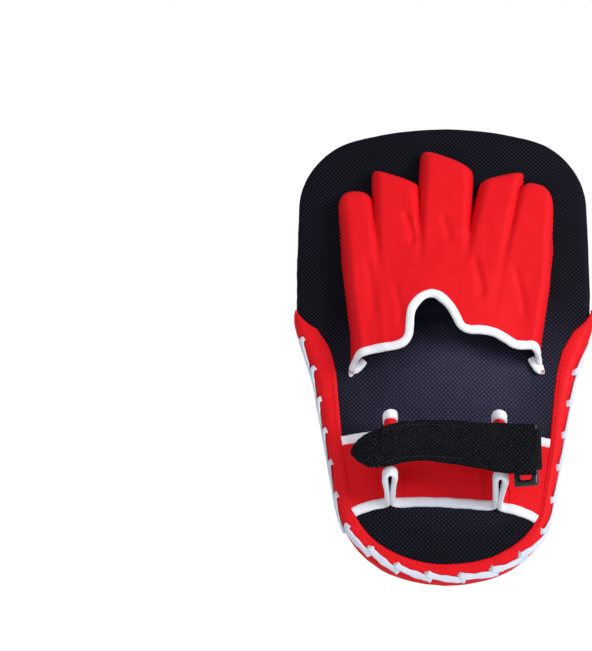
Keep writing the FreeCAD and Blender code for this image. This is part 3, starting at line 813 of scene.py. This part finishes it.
def make_edge_band():
    """The rest of the border leather, down the side of the rim to the gusset."""
    depth = RIM_END - BACK
    offsets = [(0.9 * MM, 5.0 * MM), (1.4 * MM, 5.4 * MM), (1.7 * MM, 6.4 * MM), (1.7 * MM, 8.0 * MM),
               (1.6 * MM, depth - 1.0 * MM), (1.1 * MM, depth), (0.2 * MM, depth + 0.3 * MM)]
    rim_leather("edge_band_leather", offsets, 0.014, 6, "edge_band")


def border_stitches():
    """A row of stitches just inside the border's turned edge."""
    width = border_width(LOWER_RIM) - 2.4 * MM
    shown = width > 1.2 * MM
    line = at_depth((LOWER_RIM - LOWER_OUT * width[:, None])[shown], -1.6 * MM)
    stitch_row("border_stitches", line, (0, -1, 0), "red_leather")


# ---------------------------------------------------------------- lace

# One turn of the lace: share of the pitch, how far round the rolled edge it lies in degrees
# (0 on the flat border, 90 on the side), and how far it stands off the leather.
LACE_TURN = (
    (0.00, 116, -1.6),
    (0.02, 113, 0.9),
    (0.12, 104, 1.1),
    (0.40, 92, 1.0),
    (0.75, 80, 1.0),
    (1.02, 66, 1.4),
    (1.12, 56, 1.3),
    (1.15, 50, -0.6),
    (1.10, 62, -1.8),
    (1.04, 92, -2.2),
)
LACE_TURNS = 19
LACE_MIDDLE = 85
# Round the bottom the lace lies flatter on the border: its middle angle there, how much that
# rises towards +X, and the share of its swing round the edge that is left.
FLAT_MIDDLE = 29
FLAT_LEAN = 15
FLAT_SWING = 0.46


def rolled_edge(turn):
    """Distance out from the rim and depth of the leather's surface, and the direction out of it."""
    angle = math.radians(min(turn, 90))
    out = (ROLL + 1.2 * MM) * math.sin(angle) - ROLL
    depth = (ROLL + 0.6 * MM) * (1 - math.cos(angle)) - BORDER_LIFT
    down = max(turn - 90, 0) / 90 * 11 * MM
    return out, depth + down, math.sin(angle), math.cos(angle)


def lace_route():
    """The lace's middle line, with the direction out of the leather at each of its points."""
    shown = LOWER_RIM[:, 1] < NECK - 0.002
    line = LOWER_RIM[shown]
    out = LOWER_OUT[shown]
    run = run_of(line)
    pitch = (run[-1] - 6 * MM) / LACE_TURNS
    route = []
    for turn in range(LACE_TURNS):
        wander = 0.10 * noise.noise(Vector((turn * 1.7, 0.3, 0.9)))
        for share, around, lift in LACE_TURN:
            along = (turn + share + wander * math.sin(math.pi * min(share, 1))) * pitch
            away = sample(out, run, along)
            flatter = FLAT_MIDDLE + FLAT_LEAN * away[0] + FLAT_SWING * (around - LACE_MIDDLE)
            bottom = float(fade(-away[1], 0.20, 0.85))
            outward, depth, sideways, back = rolled_edge(around + (flatter - around) * bottom)
            place = sample(line, run, along) + away * (outward + lift * MM * sideways)
            route.append((place[0], BACK + depth - lift * MM * back, place[1],
                          away[0] * sideways, -back, away[1] * sideways))
    route = smooth_line(route, steps=7)
    return route[:, :3], route[:, 3:]


def make_lacing():
    """The flat white lace that whips the border to the band."""
    line, normal = lace_route()
    ahead = np.gradient(line, axis=0)
    side = unit(np.cross(normal, ahead))
    places = np.arange(len(line))
    width = (4.3 + 0.5 * np.sin(places * 0.35) + 0.3 * np.sin(places * 0.81)) * MM
    piece = ribbon("lace_thong", line, side, width, 1.7 * MM, across=5, normal=np.cross(ahead, side))
    sew(piece, 0.18 * MM, 0.006, 9, "white_lace", "lacing")


# ---------------------------------------------------------------- the padded bed under the palm

def make_palm_bed():
    """The soft dome in the vinyl under the palm, blending into the panel all round."""
    centre = middle("palm_bolster_cover")
    size = high("palm_bolster_cover") - low("palm_bolster_cover")
    halves = np.array([size.x / 2 * 1.10, size.z / 2 * 1.22])
    around = np.linspace(-math.pi / 2, -math.pi / 2 - 2 * math.pi, 160, endpoint=False)
    circle = np.stack([np.cos(around), np.sin(around)], axis=1)
    rows = []
    sheet = []
    for share in np.concatenate([[0.004], np.linspace(0.05, 1.0, 34)]):
        rise = (BACK - BED_TOP) * (1 - share ** 2) ** 1.6 + 1.0 * MM * (1 - share ** 8)
        flat = circle * share * halves + np.array([centre.x, centre.z])
        rows.append(at_depth(flat, -rise))
        sheet.append(flat)
    rows.append(at_depth(flat, 2 * MM))
    sheet.append(flat)
    rows = swell(rows, held=range(len(rows) - 5, len(rows) - 1), centre=0, pressure=4, cap=4 * MM)
    piece = surface("palm_bed_vinyl", rows, closed=True, flat=planar(sheet), filled=(0,))
    sew(piece, 1.0 * MM, 0.034, 31, "black_mesh_vinyl", "palm_bolster_cover", "palm_bolster_foam",
        thick=1.0 * MM)


make_back_panel()
make_side_gusset()
make_striking_face()
make_back_border()
make_edge_band()
border_stitches()
make_lacing()
make_palm_bed()


# ---------------------------------------------------------------- glove

GLOVE_X = middle("hand_cover").x
KNUCKLES = high("hand_cover").z
ARCH_TOP = BACK - low("hand_cover").y

# Each finger's stall: middle of its base, middle of its tip (x, z), half widths there,
# how much further its +X corner reaches than its -X corner, and how round its tip is.
STALLS = {
    "little_finger_stall": ((-52.5, 52), (-60.5, 117.5), 14.2, 12.6, -1.5, 8.5),
    "ring_finger_stall": ((-29.0, 52), (-32.0, 129.0), 18.5, 16.9, -7.0, 2.2),
    "middle_finger_stall": ((-0.5, 52), (4.0, 142.5), 19.5, 18.9, -7.0, 3.4),
    "index_finger_stall": ((25.0, 52), (42.5, 129.0), 16.5, 14.6, 7.0, 2.2),
    "thumb_stall": ((53.0, 52), (65.0, 122.0), 19.5, 12.8, -1.5, 12.0),
}
STALL_ROLL = 8.5 * MM
STALL_CORNER = 2.2 * MM
STALL_BASE_HEIGHT = 23.5 * MM
STALL_DROP = 8.5 * MM

# The opening's edge from the -X side to the +X side (x, z): up into a peak over the palm and down again.
OPENING = np.array([
    (-66, -14), (-63.2, -11), (-61, -6.5), (-58, -3), (-53, -0.8), (-46, 0.8), (-38, 1.8), (-31, 2.8),
    (-26.8, 5), (-24.8, 9), (-24.3, 14), (-24.0, 20), (-22.8, 26.5), (-19, 32.5), (-14, 36.6), (-9, 38.2),
    (-4, 37.2), (1, 33.5), (6, 27.5), (9.5, 20.5), (12.2, 15), (16.5, 12.8), (24, 12.9), (33, 11.6),
    (40, 8.2), (46.5, 4.6), (53, 4.4), (58.5, 4.2), (62.5, 1.5), (65.5, -4.5), (68, -10), (71, -13),
]) * MM

# Soft folds from the knuckles towards the opening: where each starts and ends (x, z), and its depth.
FOLDS = (
    ((-24, 100), (-21, 70), 2.4),
    ((22, 66), (24, 30), 1.8),
    ((-31, 48), (-29, 12), 1.1),
    ((1, 98), (3, 72), 1.0),
    ((48, 62), (52, 16), 1.0),
    ((-50, 68), (-47, 16), 0.8),
)
FOLD_WIDTH = 2.6 * MM

# The leather's grid: its top, how far its foot runs past the opening's ends, and its steps.
GRID_TOP = 0.158
GRID_REACH = 0.095
GRID_ROWS = 190
GRID_STEP = 0.85 * MM
SIDE_COLUMNS = 22
SUNK = -4 * MM


def rounded_max(first, second, blend):
    """The larger of two heights, with the crease between them softened."""
    share = np.clip(0.5 + 0.5 * (first - second) / blend, 0, 1)
    return second * (1 - share) + first * share + blend * share * (1 - share)


def stall_height(stall, x, z):
    """How high one finger's stall stands over the panel, and below zero outside it."""
    base, tip, base_half, tip_half, slant, roundness = stall
    base = np.array(base) * MM
    tip = np.array(tip) * MM
    reach = np.linalg.norm(tip - base)
    ahead = (tip - base) / reach
    along = (x - base[0]) * ahead[0] + (z - base[1]) * ahead[1]
    across = (x - base[0]) * ahead[1] - (z - base[1]) * ahead[0]
    share = np.clip(along / reach, 0, 1.1)
    half = (base_half + (tip_half - base_half) * share) * MM
    side = across / half
    from_side = half - np.abs(across)
    from_end = reach + slant * MM * side - roundness * MM * np.abs(side) ** 3 - along
    corner = np.exp(-np.abs(from_side - from_end) / STALL_CORNER)
    inside = np.minimum(from_side, from_end) - STALL_CORNER * corner * 0.35
    crest = STALL_BASE_HEIGHT - STALL_DROP * np.clip(share, 0, 1) ** 1.5
    rise = np.clip(inside / STALL_ROLL, -0.4, 1)
    rounded = np.sqrt(np.clip(1 - (1 - np.clip(rise, 0, 1)) ** 2.3, 0, 1))
    return crest * np.where(rise > 0, rounded, rise * 5)


def hand_height(x, z):
    """The arched back of the hand, lowest at its sides and fading out past the knuckles."""
    half = (63.4 + 9.1 * fade(z, 0.010, 0.080)) * MM
    centre = GLOVE_X - 1.4 * MM * (1 - fade(z, 0.030, 0.080))
    rise = 1 - np.abs((x - centre) / half) ** 2.3
    arch = np.where(rise > 0, np.sqrt(np.clip(rise, 0, 1)), rise * 1.2)
    top = ARCH_TOP * (1 - 0.20 * fade(z, -0.020, KNUCKLES)) * (1 - 0.62 * fade(z, 0.045, 0.110))
    thumb_slit = 0.016 * np.exp(-((x - 0.045) / 0.013) ** 2)
    return top * arch - 0.034 * fade(z + thumb_slit, 0.078, 0.122)


def creases(x, z):
    """How the folds in the leather change its height."""
    height = np.zeros_like(x)
    for (start_x, start_z), (end_x, end_z), depth in FOLDS:
        share = np.clip((z - end_z * MM) / ((start_z - end_z) * MM), 0, 1)
        line = (end_x + (start_x - end_x) * share) * MM + 1.2 * MM * np.sin(share * 5)
        shown = fade(share, 0.0, 0.25) * (1 - fade(share, 0.75, 1.0))
        height -= depth * MM * np.exp(-((x - line) / FOLD_WIDTH) ** 2) * shown
    return height


def glove_height(x, z):
    """The glove's leather over the panel, hand and stalls together, and the stall that is uppermost."""
    heights = np.array([stall_height(stall, x, z) for stall in STALLS.values()])
    blend = (1.5 + 5.5 * (1 - fade(z, 0.070, 0.120))) * MM
    fingers = heights[0]
    for other in heights[1:]:
        fingers = rounded_max(fingers, other, blend)
    both = rounded_max(fingers, hand_height(x, z), 5 * MM)
    ripples = np.array([[noise.fractal(Vector((px * 28, 0.4, pz * 20)), 0.9, 2.1, 3)
                         for px, pz in zip(row_x, row_z)] for row_x, row_z in zip(x, z)])
    uneven = (creases(x, z) + ripples * 0.9 * MM) * fade(both, 0, 0.008)
    return both + uneven, np.argmax(heights, axis=0)


def glove_grid():
    """Points of the glove's leather: columns across the hand, rows from the opening to the tips."""
    edge = even_line(smooth_line(OPENING), GRID_STEP)
    left = np.linspace(edge[0] - (0.022, 0.002), edge[0], SIDE_COLUMNS, endpoint=False)
    right = np.linspace(edge[-1], edge[-1] + (0.020, -0.002), SIDE_COLUMNS)[1:]
    edge = np.vstack([left, edge, right])
    shares = np.linspace(0, 1, GRID_ROWS)[:, None]
    spread = edge[:, 0] - np.linspace(-GRID_REACH, GRID_REACH, len(edge))
    x = edge[:, 0] - spread * np.minimum(1, shares * 2.5)
    z = edge[:, 1] + (GRID_TOP - edge[:, 1]) * shares
    return x, z, *glove_height(x, z)


def make_glove():
    """The glove's leather in its sewn parts: the hand cover, and one stall for each finger."""
    x, z, height, owner = glove_grid()
    places = points_of(x, BACK - height, z)
    is_hand = z < KNUCKLES + 0.004 * np.sin(x * 90)
    parts = {node: [] for node in ("hand_cover", *STALLS)}
    names = list(STALLS)
    for cell in grid_cells(*x.shape):
        first = cell[0]
        if max(height[corner] for corner in cell) >= SUNK:
            node = "hand_cover" if is_hand[first] else names[owner[first]]
            parts[node].append(cell)
    for node, cells in parts.items():
        used = {}
        for cell in cells:
            for corner in cell:
                used.setdefault(corner, len(used))
        points = [places[corner] for corner in used]
        faces = [tuple(used[corner] for corner in cell) for cell in cells]
        uvs = [[(x[corner], z[corner]) for corner in cell] for cell in cells]
        piece = mesh_object(node + "_leather", points, faces, uvs)
        thicken(piece, 1.6 * MM)
        finish_piece(piece, "pad", "glove_leather", node)


def on_glove(x, z):
    """Points on the glove's leather, and the direction out of it there."""
    x = np.atleast_2d(x)
    z = np.atleast_2d(z)
    step = 1.5 * MM

    def height(along_x, along_z):
        return glove_height(x + along_x, z + along_z)[0]

    slope_x = (height(step, 0) - height(-step, 0)) / (2 * step)
    slope_z = (height(0, step) - height(0, -step)) / (2 * step)
    return points_of(x, BACK - height(0, 0), z)[0], unit(points_of(-slope_x, -1.0, -slope_z)[0])


def make_glove_binding():
    """The white tape folded over the opening's edge."""
    edge = even_line(smooth_line(OPENING), 1.6 * MM)
    shown = edge[(edge[:, 0] > -64.6 * MM) & (edge[:, 0] < 69.6 * MM)]
    places, normals = on_glove(shown[:, 0], shown[:, 1])
    normals = unit(softened(normals, 2))
    side = unit(np.cross(unit(np.gradient(places, axis=0)), normals))
    line = places - normals * 0.8 * MM + side * 1.6 * MM
    piece = ribbon("glove_binding_tape", line, side, 6.0 * MM, 3.6 * MM, across=5, normal=normals)
    sew(piece, 0.35 * MM, 0.012, 14, "white_binding", "glove_binding")


def side_line(side):
    """Where the glove's leather meets the panel along one side of the hand, below the finger tips."""
    line = []
    x = np.linspace(0, 85 * MM, 170) * side + GLOVE_X
    for level in np.linspace(-8, 100, 60) * MM:
        height = glove_height(x[None, :], np.full((1, len(x)), level))[0][0]
        line.append((x[np.nonzero(height > 1.0 * MM)[0][-1]], BACK - 1.6 * MM, level))
    return softened(np.array(line), 6)


def glove_base_stitches():
    """Stitches along both sides of the glove, where its leather is sewn down on the panel."""
    for name, side in (("little_side", -1), ("thumb_side", 1)):
        line = even_line(side_line(side) + np.array([side * 0.4 * MM, 1.0 * MM, 0]), 0.8 * MM)
        stitch_row("glove_stitches_" + name, line, (side * 0.3, -1, 0), "glove_leather")


def bartack(name, centre):
    """A tight block of three stitches across a sewn-down end."""
    width = 4.5 * MM
    step = 1.3 * MM
    along = np.array((1, 0, 0.2))
    out = (0, -1, 0)
    across = np.cross(along, out)
    across /= np.linalg.norm(across)
    reach = across * width / 2 + along * step * 0.3
    for here in range(3):
        place = np.array(centre) + along * (here - 1) * step
        ends = np.linspace(place - reach, place + reach, 12)
        stitch_row("%s_%d" % (name, here + 1), ends, out, "glove_leather",
                   pitch=width * 0.62, length=width * 0.55, radius=0.38 * MM)


# The turned-in ends of the opening's tape: name, side, and points (x, z, height over the panel).
BINDING_ENDS = (
    ("left", -1, ((-61.5, -9.5, 2.1), (-58.5, -10.0, 3.64), (-55.5, -7.5, 4.34), (-52.5, -4, 4.9))),
    ("right", 1, ((66.5, -8.5, 2.1), (63.5, -9.0, 3.64), (60.5, -6.0, 4.48), (58.0, -1.5, 5.18))),
)


def make_binding_ends():
    """Each end of the opening's tape is turned inwards, flat on the panel, and bar-tacked down."""
    for name, side_of_hand, points in BINDING_ENDS:
        line = smooth_line([(x * MM, BACK - lift * MM, z * MM) for x, z, lift in points], steps=6)
        normal = np.tile([0.15 * side_of_hand, -1.0, -0.1], (len(line), 1))
        side = unit(np.cross(np.gradient(line, axis=0), normal))
        width = np.linspace(6.5, 5.0, len(line)) * MM
        piece = ribbon("glove_binding_end_" + name, line, side, width, 2.6 * MM, across=5, normal=normal)
        sew(piece, 0.4 * MM, 0.008, side_of_hand + 4, "white_binding")
        tack = (line[0][0] - side_of_hand * 1.2 * MM, BACK - 4.2 * MM, line[0][2] - 3.0 * MM)
        bartack("glove_bartack_" + name, tack)


make_glove()
make_glove_binding()
glove_base_stitches()
make_binding_ends()


# ---------------------------------------------------------------- wrist band

PLEATS = (-35 * MM, 34 * MM)
PLEAT_HALF = 4.0 * MM
PLEAT_TOP = BACK - low("wrist_band").y
PLEAT_LEAN = 9 * MM
BAND_REACH = 64 * MM
BAND_END = BAND_REACH + 3 * MM
# The foot of each pleat, from outside in: distance from its middle, and height over the panel.
PLEAT_FOOT = ((11.5, 2.6), (6.5, 2.6), (2.9, 3.8), (2.3, 8), (2.9, 20))


def band_path():
    """The band seen from its end (x, y): flat on the panel, up and over two pleats pinched at the foot."""
    points = [(-BAND_END, BACK - 0.9 * MM), (-BAND_REACH + 6 * MM, BACK - 1.6 * MM)]
    crest = BACK - PLEAT_TOP + 1.1 * MM
    for place in PLEATS:
        points += [(place - out * MM, BACK - rise * MM) for out, rise in PLEAT_FOOT]
        points += [(place - PLEAT_HALF, crest + 7 * MM), (place - PLEAT_HALF + 0.9 * MM, crest + 2 * MM),
                   (place, crest), (place + PLEAT_HALF - 0.9 * MM, crest + 2 * MM),
                   (place + PLEAT_HALF, crest + 7 * MM)]
        points += [(place + out * MM, BACK - rise * MM) for out, rise in reversed(PLEAT_FOOT)]
        if place < 0:
            points += [(place + 22 * MM, BACK - 3.4 * MM), (place + 46 * MM, BACK - 3.0 * MM)]
    points += [(BAND_REACH - 6 * MM, BACK - 1.6 * MM), (BAND_END, BACK - 0.9 * MM)]
    return even_line(smooth_line(points, steps=10), 0.9 * MM)


def inside_border(x, level):
    """Draw the band's ends in so they stop just under the border's inner edge at each height."""
    inner = LOWER_RIM - LOWER_OUT * border_width(LOWER_RIM)[:, None]
    held = 46 * MM
    drawn = x.copy()
    for side in (-1, 1):
        line = inner[inner[:, 0] * side > 20 * MM]
        line = line[np.argsort(line[:, 1])]
        reach = np.interp(level, line[:, 1], np.abs(line[:, 0])) + 3 * MM
        share = (x * side - held) / (BAND_END - held)
        drawn = np.where(share > 0, side * (held + share * (reach - held)), drawn)
    return drawn


def band_edges(path):
    """The band's upper and lower edge heights along its path: bowed, and leaning up at the pleats."""
    x, y = path[:, 0], path[:, 1]
    rise = np.clip((BACK - 2 * MM - y) / PLEAT_TOP, 0, 1)
    upper = -49 * MM - 8 * MM * (x / (68 * MM)) ** 2 + PLEAT_LEAN * rise * 0.75
    lower = -100.5 * MM - 0.02 * x - 7 * MM * np.abs(x / (62 * MM)) ** 3 + PLEAT_LEAN * rise * 1.9
    return upper, lower


def make_wrist_band():
    """The red leather band, and the white tape folded over both its long edges."""
    path = band_path()
    x, y = path[:, 0], path[:, 1]
    upper, lower = band_edges(path)
    hollow = 1.2 * MM * np.exp(-((x + 5 * MM) / (24 * MM)) ** 2)
    rows = []
    for share in np.linspace(0, 1, 40):
        level = lower + (upper - lower) * share
        depth = y + hollow * math.sin(math.pi * share)
        rows.append(points_of(inside_border(x, level), depth, level))

    def away_from_ends(place):
        return float(1 - 0.9 * fade(abs(place[0]), 0.044, 0.056))

    piece = surface("wrist_band_leather", rows)
    sew(piece, 0.9 * MM, 0.017, 41, "glove_leather", "wrist_band", thick=2.0 * MM, inside=away_from_ends)
    turn = np.gradient(path, axis=0)
    out = unit(points_of(turn[:, 1], -turn[:, 0], 0))
    shown = np.abs(x) < BAND_REACH + 0.4 * MM
    for name, level, shift in (("upper", upper, -2.0 * MM), ("lower", lower, 2.0 * MM)):
        line = (points_of(inside_border(x, level), y, level + shift) - 0.9 * MM * out)[shown]
        side = unit(np.cross(out[shown], unit(np.gradient(line, axis=0))))
        tape = ribbon("wrist_band_%s_tape" % name, line, side, 6.6 * MM, 3.5 * MM, across=5,
                      normal=out[shown])
        sew(tape, 0.35 * MM, 0.010, 44, "white_binding", "wrist_binding_" + name)


def band_stitches():
    """The two rows of stitches that close each pleat along its foot."""
    path = band_path()
    upper, lower = band_edges(path)
    for number, place in enumerate(PLEATS):
        for side, offset in (("inner", 9.0 * MM), ("outer", -9.0 * MM)):
            here = int(np.argmin(np.abs(path[:, 0] - place - offset)))
            x, y = path[here] - (0, 0.2 * MM)
            line = np.linspace((x, y, lower[here] + 7 * MM), (x, y, upper[here] - 7 * MM), 50)
            stitch_row("pleat_stitches_%d_%s" % (number + 1, side), line, (0, -1, 0), "glove_leather")


make_wrist_band()
band_stitches()


# ---------------------------------------------------------------- strap and ring

BAR_RADIUS = 2.0 * MM
BAR = np.array([high("strap_ring").x - BAR_RADIUS, low("strap_ring").y + BAR_RADIUS])
TAB_BAR = np.array([low("strap_ring").x + BAR_RADIUS, high("strap_ring").y - BAR_RADIUS])
STRAP_THICK = 2.0 * MM
UNDER_Y = -30.3 * MM
TURN_RADIUS = UNDER_Y - BAR[1]
TAIL_Y = BAR[1] - TURN_RADIUS
TAIL_MIDDLE_Y = -34.9 * MM

# The strap's middle line: x, and how far it rides above its height at the ring.
STRAP_CURVE = smooth_line(np.array([(-60, -0.6), (-45, 1.3), (-35, 3.1), (-24, 5.6), (-8, 6.3), (18, 3.7),
                                    (42, 1.5), (57, 1.8)]) * MM)
# How wide the tail and the tip are at some places along them: x, and the width there.
TAIL_WIDTHS = np.array([(-41, 25), (-33, 26.6), (-23, 25.8), (-8, 26.2), (18, 29), (45, 32), (54, 32)]) * MM
TIP_WIDTHS = np.array([(-59, 5), (-57.5, 9), (-55, 14), (-51.5, 18.8), (-47, 23), (-40, 25)]) * MM


def strap_level(x):
    """The height of the strap's middle line: it rides up a little over the wrist."""
    return STRAP_Z + np.interp(x, *STRAP_CURVE.T)


def tail_depth(x):
    """How far the tail's middle stands behind the frame's origin, dipping over the pleats."""
    return TAIL_MIDDLE_Y - 0.3 * MM * np.cos((x - PLEATS[0]) / (66 * MM) * 2 * math.pi)


def strap_ribbon(name, points, width, thickness, slot, body, node, waves, seed):
    """A strip of strap along a line of (x, y) points; width is one value or a table along x."""
    line = even_line(smooth_line(points, steps=8), 1.2 * MM)
    middle_line = points_of(line[:, 0], line[:, 1], strap_level(line[:, 0]))
    if np.ndim(width):
        width = np.interp(line[:, 0], *width.T)
    piece = ribbon(name, middle_line, (0, 0, 1), width, thickness, across=17)
    return sew(piece, waves, 0.014, seed, slot, node, body=body)


def strap_patch(name, node, thickness, slot, body, seed):
    """A flat patch of hook or loop, sewn on between the tail and the under layer."""
    points = [(x, middle(node).y) for x in np.linspace(low("loop_patch").x, high("loop_patch").x, 6)]
    strap_ribbon(name, points, STRAP_WIDTH - 4 * MM, thickness, slot, body, node, 0.15 * MM, seed)


def make_strap():
    """The strap: under layer, fold round the ring, tail and drooping tip, with their patches."""
    under_points = [(-44 * MM, UNDER_Y + 0.6 * MM), (-20 * MM, UNDER_Y), (15 * MM, UNDER_Y),
                    (42 * MM, UNDER_Y), (BAR[0], UNDER_Y)]
    under = strap_ribbon("strap_under", under_points, STRAP_WIDTH - 1 * MM, 1.6 * MM,
                         "black_webbing", None, "strap_under_layer", 0.2 * MM, 51)
    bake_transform(under)
    turn = [(BAR[0] + TURN_RADIUS * math.sin(angle), BAR[1] + TURN_RADIUS * math.cos(angle))
            for angle in np.linspace(0, math.pi, 9)]
    strap_ribbon("strap_turn", turn, STRAP_WIDTH - 0.5 * MM, 1.6 * MM, "black_webbing", "ring",
                 "strap_fold", 0.1 * MM, 52)
    tail_points = [(BAR[0] + 0.3 * MM, TAIL_Y), (48 * MM, TAIL_Y - 0.1 * MM), (38 * MM, TAIL_Y + 0.4 * MM),
                   (27 * MM, TAIL_Y + 1.2 * MM)]
    tail_points += [(x * MM, tail_depth(x * MM)) for x in (12, 0, -12, -24, -34, -40.5)]
    tail = strap_ribbon("strap_tail_webbing", tail_points, TAIL_WIDTHS, STRAP_THICK,
                        "black_webbing", None, "strap_tail", 0.7 * MM, 53)
    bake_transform(tail)
    tip_points = [(-40 * MM, tail_depth(-40 * MM)), (-44 * MM, -34.4 * MM), (-50 * MM, -32.6 * MM),
                  (-54 * MM, -30.4 * MM), (-59 * MM, -27.6 * MM)]
    tip = strap_ribbon("strap_tip_webbing", tip_points, TIP_WIDTHS, STRAP_THICK,
                       "black_webbing", None, "strap_tip", 1.3 * MM, 54)
    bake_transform(tip)
    strap_patch("loop_pile_patch", "loop_patch", 1.0 * MM, "loop_pile", "pad", 55)
    strap_patch("hook_tape_patch", "hook_patch", 0.9 * MM, "hook_tape", "tail", 56)


def strap_stitches():
    """A stitch row along each long edge of the tail, over the patch."""
    x = np.linspace(-38, 10, 90) * MM
    for name, offset in (("upper", 10.0 * MM), ("lower", -10.0 * MM)):
        line = points_of(x, tail_depth(x) - STRAP_THICK / 2 - 0.15 * MM, strap_level(x) + offset)
        stitch_row("strap_stitches_" + name, line, (0, -1, 0), "black_webbing", "tail", BLACK_THREAD,
                   pitch=3.2 * MM, length=2.3 * MM, radius=0.28 * MM)


def make_ring_tab():
    """The webbing loop that holds the ring on the pleat's side."""
    radius = 3.1 * MM
    wall = PLEATS[1] + 4.6 * MM
    x, y = TAB_BAR
    points = [(wall, y + radius), (x - 1 * MM, y + radius)]
    points += [(x + radius * math.sin(angle), y + radius * math.cos(angle))
               for angle in np.linspace(0.2, math.pi - 0.2, 7)]
    points += [(x - 1 * MM, y - radius), (wall, y - radius)]
    line = even_line(smooth_line(points, steps=6), 0.8 * MM)
    middle_line = points_of(line[:, 0], line[:, 1], middle("ring_tab").z)
    width = high("ring_tab").z - low("ring_tab").z
    piece = ribbon("ring_tab_webbing", middle_line, (0, 0, 1), width, 1.4 * MM, across=11)
    sew(piece, 0.2 * MM, 0.010, 61, "black_webbing", "ring_tab")


make_strap()
strap_stitches()
make_ring_tab()


# ---------------------------------------------------------------- CAD pieces that keep their shape

def dress(node, material):
    """Give a carried-over CAD node its material."""
    piece = nodes[node]
    if not piece.material_slots:
        piece.data.materials.append(material)
    for slot in piece.material_slots:
        slot.material = material


dress("strap_ring", moulded_plastic("black_moulded_plastic"))
dress("core_foam", foam("core_foam_open_cell", (0.75, 0.70, 0.55)))
dress("impact_foam", foam("impact_foam_dense", (0.42, 0.45, 0.48)))
dress("backing_board", foam("backing_fibreboard", (0.30, 0.20, 0.12)))


# ---------------------------------------------------------------- floor, light and camera

FLOOR_DROP = 0.85
FLOOR_REACH = 40.0
CAMERA_PLACE = Vector((-0.0332, -0.775, -0.1955))
CAMERA_TARGET = Vector((-0.0987, 0, 0.0183))
CAMERA_ROLL = math.radians(1.5)


def turned_towards(place, target):
    """The turn of a lamp or camera at a place that looks at a target."""
    return (Vector(target) - Vector(place)).to_track_quat("-Z", "Y")


def area_light(name, place, target, width, power):
    lamp = bpy.data.lights.new(name, "AREA")
    lamp.shape = "SQUARE"
    lamp.size = width
    lamp.energy = power
    item = bpy.data.objects.new(name, lamp)
    bpy.context.scene.collection.objects.link(item)
    item.location = place
    item.rotation_euler = turned_towards(place, target).to_euler()


def make_floor():
    """A pale floor well under the mitt, which hangs over it."""
    level = PAD_BOTTOM - FLOOR_DROP
    corners = [(x * FLOOR_REACH, y * FLOOR_REACH, level) for x, y in ((-1, -1), (1, -1), (1, 1), (-1, 1))]
    floor = mesh_object("floor", corners, [(0, 1, 2, 3)])
    floor.data.materials.append(pale_floor("pale_floor"))


def make_world():
    """A white studio: bright white behind the mitt, softer white as light."""
    world = bpy.data.worlds.new("studio")
    bpy.context.scene.world = world
    world.use_nodes = True
    tree = world.node_tree
    shown = tree.nodes["Background"]
    shown.inputs["Color"].default_value = (1, 1, 1, 1)
    shown.inputs["Strength"].default_value = 1.0
    lit = tree.nodes.new("ShaderNodeBackground")
    lit.inputs["Color"].default_value = (0.93, 0.96, 1, 1)
    lit.inputs["Strength"].default_value = 0.55
    rays = tree.nodes.new("ShaderNodeLightPath")
    mix = tree.nodes.new("ShaderNodeMixShader")
    tree.links.new(rays.outputs["Is Camera Ray"], mix.inputs[0])
    tree.links.new(lit.outputs[0], mix.inputs[1])
    tree.links.new(shown.outputs[0], mix.inputs[2])
    tree.links.new(mix.outputs[0], tree.nodes["World Output"].inputs["Surface"])


def make_camera():
    """The camera under a metre away, below the mitt and a little to its left, aimed left of it."""
    lens = bpy.data.cameras.new("camera")
    lens.lens = 66.1
    lens.sensor_fit = "VERTICAL"
    lens.sensor_height = 36
    lens.clip_start = 0.01
    item = bpy.data.objects.new("camera", lens)
    bpy.context.scene.collection.objects.link(item)
    turned = turned_towards(CAMERA_PLACE, CAMERA_TARGET).to_matrix().to_4x4()
    item.matrix_world = Matrix.Translation(CAMERA_PLACE) @ turned @ Matrix.Rotation(CAMERA_ROLL, 4, "Z")
    bpy.context.scene.camera = item


make_floor()
make_world()
area_light("key", (1.25, -1.15, 0.25), (0, 0, 0), 0.8, 24)
area_light("fill", (-0.8, -1.5, -0.3), (0, 0, 0), 1.4, 5)
area_light("back", (0.2, 1.3, 0.7), (0, 0, 0), 1.0, 10)
make_camera()
bpy.context.scene.view_settings.view_transform = "Standard"
